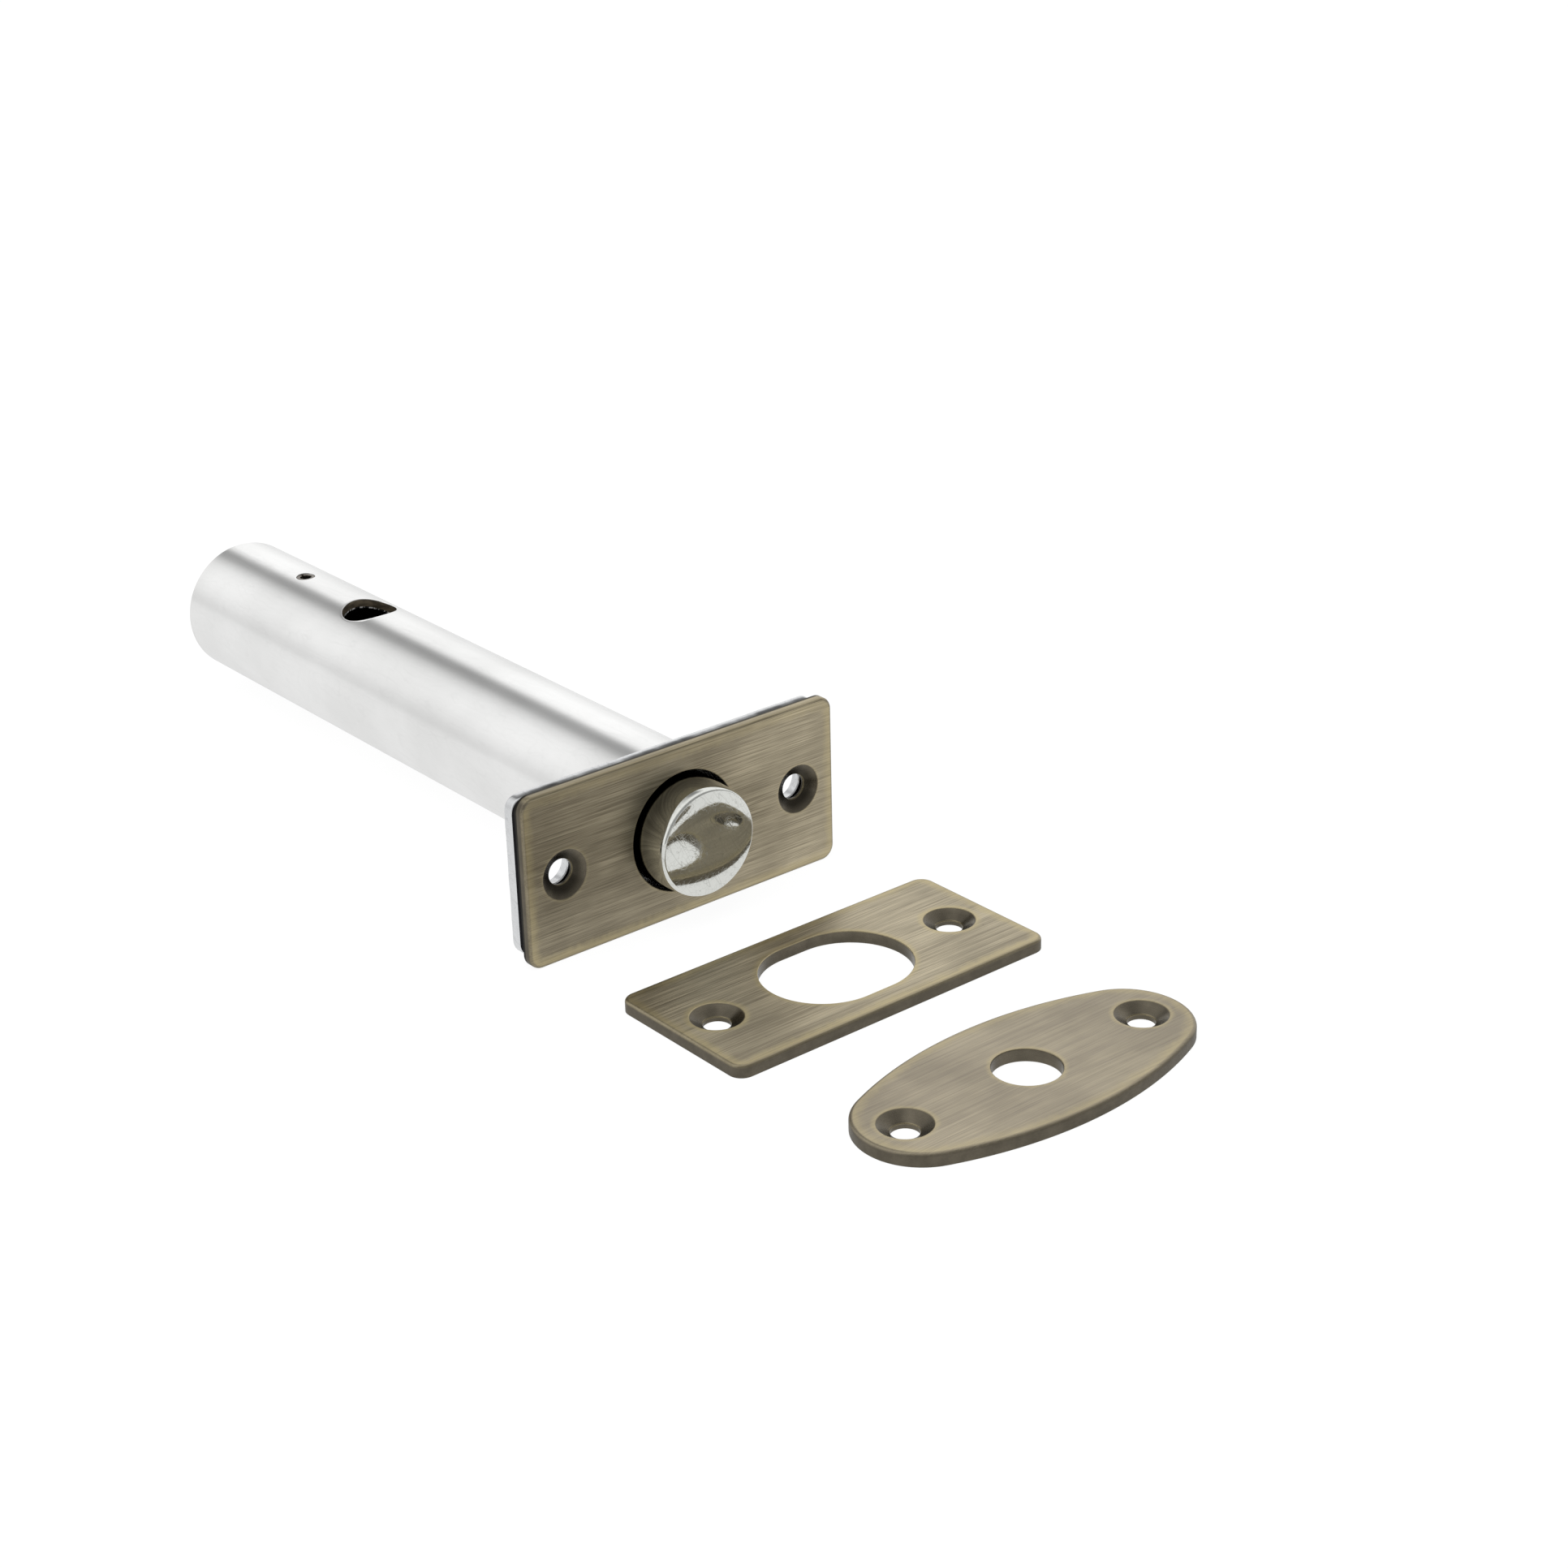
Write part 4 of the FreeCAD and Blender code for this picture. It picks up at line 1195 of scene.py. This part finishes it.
class RackBoltBar(bpy.types.Operator):
    """Polished bolt: domed nose, neck, shank, key slot with rack teeth, guide slot and detent pocket"""
    bl_idname = "rack_bolt.bar"
    bl_label = "Bolt"

    def execute(self, context):
        bar = context.scene.rack_bolt_bar
        finishes = context.scene.rack_bolt_finishes
        flank = bar.nose_tip_radius - bar.nose_edge
        front = -bar.nose_reach
        reach = np.linspace(0, 1, NOSE_POINTS) ** NOSE_CROWDING
        crown = np.stack([flank * reach, front + bar.nose_crown * reach ** DOME_POWER], axis=1)
        angle = np.linspace(0, QUARTER, EDGE_POINTS)[1:]
        worn = bar.nose_wear
        edge_end = front + bar.nose_crown + worn
        taper = (bar.nose_radius - bar.nose_tip_radius) / (bar.nose_reach - bar.nose_crown - bar.nose_edge)
        end_radius = bar.nose_radius + taper * edge_end
        edge = np.stack([flank + (end_radius - flank) * np.sin(angle),
                         front + bar.nose_crown + worn * (1 - np.cos(angle))], axis=1)
        sides = [(end_radius, edge_end), (bar.nose_radius, 0.0),
                 (bar.nose_radius, bar.shoulder), (bar.shank_radius - bar.chamfer, bar.shoulder),
                 (bar.shank_radius, bar.shoulder + bar.chamfer)]
        tail = [(bar.shank_radius, bar.tail - bar.chamfer), (bar.shank_radius - bar.chamfer, bar.tail), (0.0, bar.tail)]
        low = bar.slot_front - bar.slot_radius - SLOT_AHEAD
        high = bar.guide_back + bar.guide_radius + SLOT_BEHIND
        detent = bar.detent_station
        stations = spaced(bar.shoulder + bar.chamfer, (detent - DETENT_HALF, 10), (detent + DETENT_HALF, 13),
                          (low, 10), (high, 61), (bar.tail - bar.chamfer, 3))
        slot = slot_window(span_of(stations, low, high, SLOT_ANGLE), bar)
        pocket_span = span_of(stations, detent - DETENT_HALF, detent + DETENT_HALF, DETENT_ANGLE)
        pocket = round_window(stations, pocket_span, detent, bar.detent_radius)
        patches = Patches()
        for side in (1, -1):
            turned(patches, np.concatenate([crown, edge[:-1], fill_in(sides, 0.004)]), side)
            half_drum(patches, bar.shank_radius, stations, side, [slot] if side > 0 else [slot, pocket])
            turned(patches, tail, side)
        depth = np.sqrt(bar.shank_radius ** 2 - slot["x"] ** 2)
        patches.grid(wall_rows(slot, np.linspace(1, -1, 9)[:, None] * depth), closed=True)
        mouth = -np.sqrt(bar.shank_radius ** 2 - pocket["x"] ** 2)
        bottom = bar.detent_floor
        share = np.linspace(0, 1, 5)[:, None]
        patches.grid(wall_rows(pocket, mouth + share * (bottom - mouth)), closed=True)
        floor = [np.stack([pocket["x"] * s, detent + (pocket["y"] - detent) * s, np.full(len(mouth), bottom)], axis=1)
                 for s in (1.0, 0.5, 0.0)]
        patches.grid(np.stack(floor), closed=True)
        middle = (bar.slot_front + bar.slot_back) / 2
        count = int((bar.slot_back - bar.slot_front) / bar.tooth_pitch + 0.5)
        for number in range(count):
            centre = middle + (number - (count - 1) / 2) * bar.tooth_pitch
            tooth(patches, bar, centre)
        piece = patches.build("polished_bolt")
        begin, stop, factor = NOSE_PAINTED_SHADE
        material = plated_metal("Bright bolt", finishes.bolt, **BOLT_LOOK,
                                tint=(1, front + begin, front + stop, factor, -1.0))
        finish(piece, material, "bolt_bar", "bright_bolt", "bolt")
        return {"FINISHED"}


def tooth(patches, bar, centre):
    """One rack tooth: a trapezium carried along Z, closed at both ends, rooted just inside the slot's wall."""
    root, tip = bar.slot_radius + TOOTH_ROOTED, bar.slot_radius - bar.tooth_depth
    half_base, half_tip = bar.tooth_base / 2, bar.tooth_tip / 2
    shape = np.array([(root, centre - half_base), (tip, centre - half_tip), (tip, centre + half_tip),
                      (root, centre + half_base)])
    middle = shape.mean(axis=0)
    rings = [(0.0, 1.0), (1.0, 1.0), (1.0, -1.0), (0.0, -1.0)]
    rows = [np.column_stack([middle + (shape - middle) * grow, np.full(4, level * bar.tooth_reach)])
            for grow, level in rings]
    patches.grid(np.stack(rows), closed=True)


class RackBoltGuidePin(bpy.types.Operator):
    """Rolled guide pin with its slit"""
    bl_idname = "rack_bolt.guide_pin"
    bl_label = "Guide Pin"

    def execute(self, context):
        case = context.scene.rack_bolt_case
        finishes = context.scene.rack_bolt_finishes
        half = case.tube_radius - case.pin_sunk
        outer, inner = case.pin_radius, case.pin_bore
        below_end, softness = half - 0.0004, 0.0001
        profile = soften([(inner, below_end), (inner, half), (outer, half), (outer, below_end)], softness)
        profile = np.concatenate([profile, profile[::-1] * [1, -1]])
        opening = math.asin(case.pin_slit / 2 / outer)
        turn = np.linspace(QUARTER + opening, 5 * QUARTER - opening, 49)
        patches = Patches()
        radius, level = profile[:, :1], profile[:, 1:]
        sheet = np.dstack([radius * np.cos(turn), case.pin_station + radius * np.sin(turn), level + 0 * radius * turn])
        patches.grid(np.concatenate([sheet, sheet[:1]]))
        for column in (0, -1):
            edge = sheet[:, column]
            half_count = len(edge) // 2
            patches.grid(np.stack([edge[:half_count], edge[half_count:][::-1]]))
        piece = patches.build("rolled_guide_pin")
        material = plated_metal("Spring steel", finishes.steel, **STEEL_LOOK)
        finish(piece, material, "case", "spring_steel", "guide_pin")
        return {"FINISHED"}


class RackBoltInnerParts(bpy.types.Operator):
    """Finishes for the parts whose solids are shown as they are: pad, end plug, detent ball and spring"""
    bl_idname = "rack_bolt.inner_parts"
    bl_label = "Pad, Plug and Detent"

    def execute(self, context):
        finishes = context.scene.rack_bolt_finishes
        steel = plated_metal("Spring steel", finishes.steel, **STEEL_LOOK)
        plug = plated_metal("Turned plug", finishes.plug, **PLUG_LOOK)
        for node, material in (("face_pad", rubber("Black pad", finishes.pad)), ("end_plug", plug),
                               ("detent_ball", steel), ("detent_spring", steel)):
            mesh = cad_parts[node].data
            mesh.materials.clear()
            mesh.materials.append(material)
        return {"FINISHED"}


# Light round the barrel's axis as the metal sees it: degrees from straight up towards +X, and brightness
BANDS = ((-140.0, 0.88), (-100.0, 0.80), (-84.0, 0.66), (-66.0, 0.84), (-40.0, 0.92), (-14.0, 0.85), (0.0, 0.62),
         (8.0, 0.34), (20.0, 0.24), (27.0, 0.40), (34.0, 1.0), (44.0, 1.1), (66.0, 1.06), (82.0, 0.82),
         (98.0, 1.0), (140.0, 1.0))
BANDS_UNDERNEATH = 0.9
FRONT_DARKENING = 0.65
FLOOR_REACH, FLOOR_CELLS = 3.0, 4
LAMPS = (("Key lamp", (-0.35, -0.10, 0.75), 0.7, "key_power"), ("Fill lamp", (0.65, -0.45, 0.35), 0.6, "fill_power"))
LAMP_TARGET = Vector((0.0, 0.02, 0.0))


class RackBoltStage(bpy.types.Operator):
    """White studio floor, even light, two soft lamps and the camera"""
    bl_idname = "rack_bolt.stage"
    bl_label = "Studio"

    def execute(self, context):
        scene = context.scene
        studio = scene.rack_bolt_studio
        self.make_floor(scene)
        self.make_world(scene, studio)
        for name, spot, size, power in LAMPS:
            data = bpy.data.lights.new(name, "AREA")
            data.shape, data.size, data.energy = "SQUARE", size, getattr(studio, power)
            lamp = bpy.data.objects.new(name, data)
            lamp.location = spot
            aim = LAMP_TARGET - Vector(spot)
            lamp.rotation_euler = aim.to_track_quat("-Z", "Y").to_euler()
            lamp.visible_glossy = False
            scene.collection.objects.link(lamp)
        self.make_camera(scene, studio)
        scene.view_settings.view_transform = "Standard"
        return {"FINISHED"}

    def make_floor(self, scene):
        """Flat square of quads at the level of the loose plates' undersides."""
        side = FLOOR_CELLS + 1
        u = np.linspace(-FLOOR_REACH, FLOOR_REACH, side)
        level = np.full((side, side), KEEP_LOW.z)
        points = np.stack([*np.meshgrid(u, u, indexing="ij"), level], axis=-1).reshape(-1, 3)
        index = np.arange(side * side).reshape(side, side)
        quads = np.stack([index[:-1, :-1], index[1:, :-1], index[1:, 1:], index[:-1, 1:]], axis=-1).reshape(-1, 4)
        mesh = bpy.data.meshes.new("studio_floor")
        mesh.from_pydata(points, [], quads)
        mesh.materials.append(studio_floor("Studio floor", tuple(scene.rack_bolt_finishes.floor)))
        floor = bpy.data.objects.new("studio_floor", mesh)
        scene.collection.objects.link(floor)

    def make_world(self, scene, studio):
        """Even white light. The metal sees it with soft bands round the barrel's own axis, as between large lamps."""
        world = bpy.data.worlds.new("Studio light")
        tree, w = empty_tree(world)
        way = w.node("ShaderNodeTexCoord").outputs["Generated"]
        x, y, z = w.parts(way)
        seen_all, mirrored = seen_directly(w)
        turn = w.math("ADD", w.math("DIVIDE", w.math("ARCTAN2", x, z), 2 * math.pi), 0.5)
        bands = w.node("ShaderNodeValToRGB")
        bands.color_ramp.interpolation = "B_SPLINE"
        points = bands.color_ramp.elements
        for end in (0, 1):
            points[end].position, points[end].color = end, (*[BANDS_UNDERNEATH] * 3, 1.0)
        for angle, value in BANDS:
            points.new(0.5 + angle / 360.0).color = (value, value, value, 1.0)
        w.feed(bands.inputs[0], turn)
        behind = w.times(w.ramp(y, 0.15, 0.5), mirrored)
        front = w.times(w.ramp(y, 0.0, -0.35, 0.0, FRONT_DARKENING), mirrored)
        seen = w.mix(front, w.mix(behind, (1.0, 1.0, 1.0), bands.outputs[0]), (0.0, 0.0, 0.0))
        back = w.node("ShaderNodeBackground")
        light = w.node("ShaderNodeBackground")
        w.feed(back.inputs["Color"], seen)
        light.inputs["Color"].default_value = (1.0, 1.0, 1.0, 1.0)
        light.inputs["Strength"].default_value = studio.world_light
        either = w.node("ShaderNodeMixShader")
        w.feed(either.inputs[0], seen_all)
        tree.links.new(light.outputs[0], either.inputs[1])
        tree.links.new(back.outputs[0], either.inputs[2])
        output = w.node("ShaderNodeOutputWorld")
        tree.links.new(either.outputs[0], output.inputs["Surface"])
        scene.world = world

    def make_camera(self, scene, studio):
        """Camera at the given angles and distance from its target, leaning by the roll about its line of sight."""
        data = bpy.data.cameras.new("Studio camera")
        data.lens, data.sensor_width, data.sensor_fit = studio.lens, 36.0, "HORIZONTAL"
        data.clip_start, data.clip_end = 0.01, 20.0
        camera = bpy.data.objects.new("Studio camera", data)
        back = Vector((math.sin(studio.azimuth) * math.cos(studio.elevation),
                       -math.cos(studio.azimuth) * math.cos(studio.elevation), math.sin(studio.elevation)))
        right = Vector((math.cos(studio.azimuth), math.sin(studio.azimuth), 0.0))
        up = back.cross(right)
        tilt, lean = math.cos(studio.roll), math.sin(studio.roll)
        right, up = tilt * right + lean * up, tilt * up - lean * right
        turn = Matrix((right, up, back)).transposed().to_4x4()
        camera.matrix_world = Matrix.Translation(Vector(studio.target) + back * studio.distance) @ turn
        scene.collection.objects.link(camera)
        scene.camera = camera


class RackBoltPanel(bpy.types.Panel):
    """Lists the steps that build the rack bolt"""
    bl_idname = "VIEW3D_PT_rack_bolt"
    bl_label = "Rack Bolt"
    bl_space_type = "VIEW_3D"
    bl_region_type = "UI"
    bl_category = "Rack Bolt"

    def draw(self, context):
        for step in STEPS:
            self.layout.operator(step.bl_idname)
        for group in SETTINGS:
            box = self.layout.box()
            settings = getattr(context.scene, group)
            for field in settings.__annotations__:
                box.prop(settings, field)


SETTINGS = {
    "rack_bolt_plates": RackBoltPlateSizes,
    "rack_bolt_case": RackBoltCaseSizes,
    "rack_bolt_bar": RackBoltBarSizes,
    "rack_bolt_finishes": RackBoltFinishes,
    "rack_bolt_studio": RackBoltStudio,
}
STEPS = (RackBoltStage, RackBoltFacePlate, RackBoltKeepPlate, RackBoltEscutcheon, RackBoltCasting, RackBoltBarrel,
         RackBoltBar, RackBoltGuidePin, RackBoltInnerParts)


def register():
    """Registers the settings, the operators and the panel."""
    for item in (*SETTINGS.values(), *STEPS, RackBoltPanel):
        bpy.utils.register_class(item)
    for name, kind in SETTINGS.items():
        setattr(bpy.types.Scene, name, PointerProperty(type=kind))


def unregister():
    """Takes away what register added, last first."""
    for name in SETTINGS:
        delattr(bpy.types.Scene, name)
    for item in reversed((*SETTINGS.values(), *STEPS, RackBoltPanel)):
        bpy.utils.unregister_class(item)


def main():
    """Builds the stage and the pieces."""
    register()
    bpy.ops.rack_bolt.stage()
    bpy.ops.rack_bolt.face_plate()
    bpy.ops.rack_bolt.keep_plate()
    bpy.ops.rack_bolt.escutcheon()
    bpy.ops.rack_bolt.casting()
    bpy.ops.rack_bolt.barrel()
    bpy.ops.rack_bolt.bar()
    bpy.ops.rack_bolt.guide_pin()
    bpy.ops.rack_bolt.inner_parts()


if __name__ == "__main__":
    main()
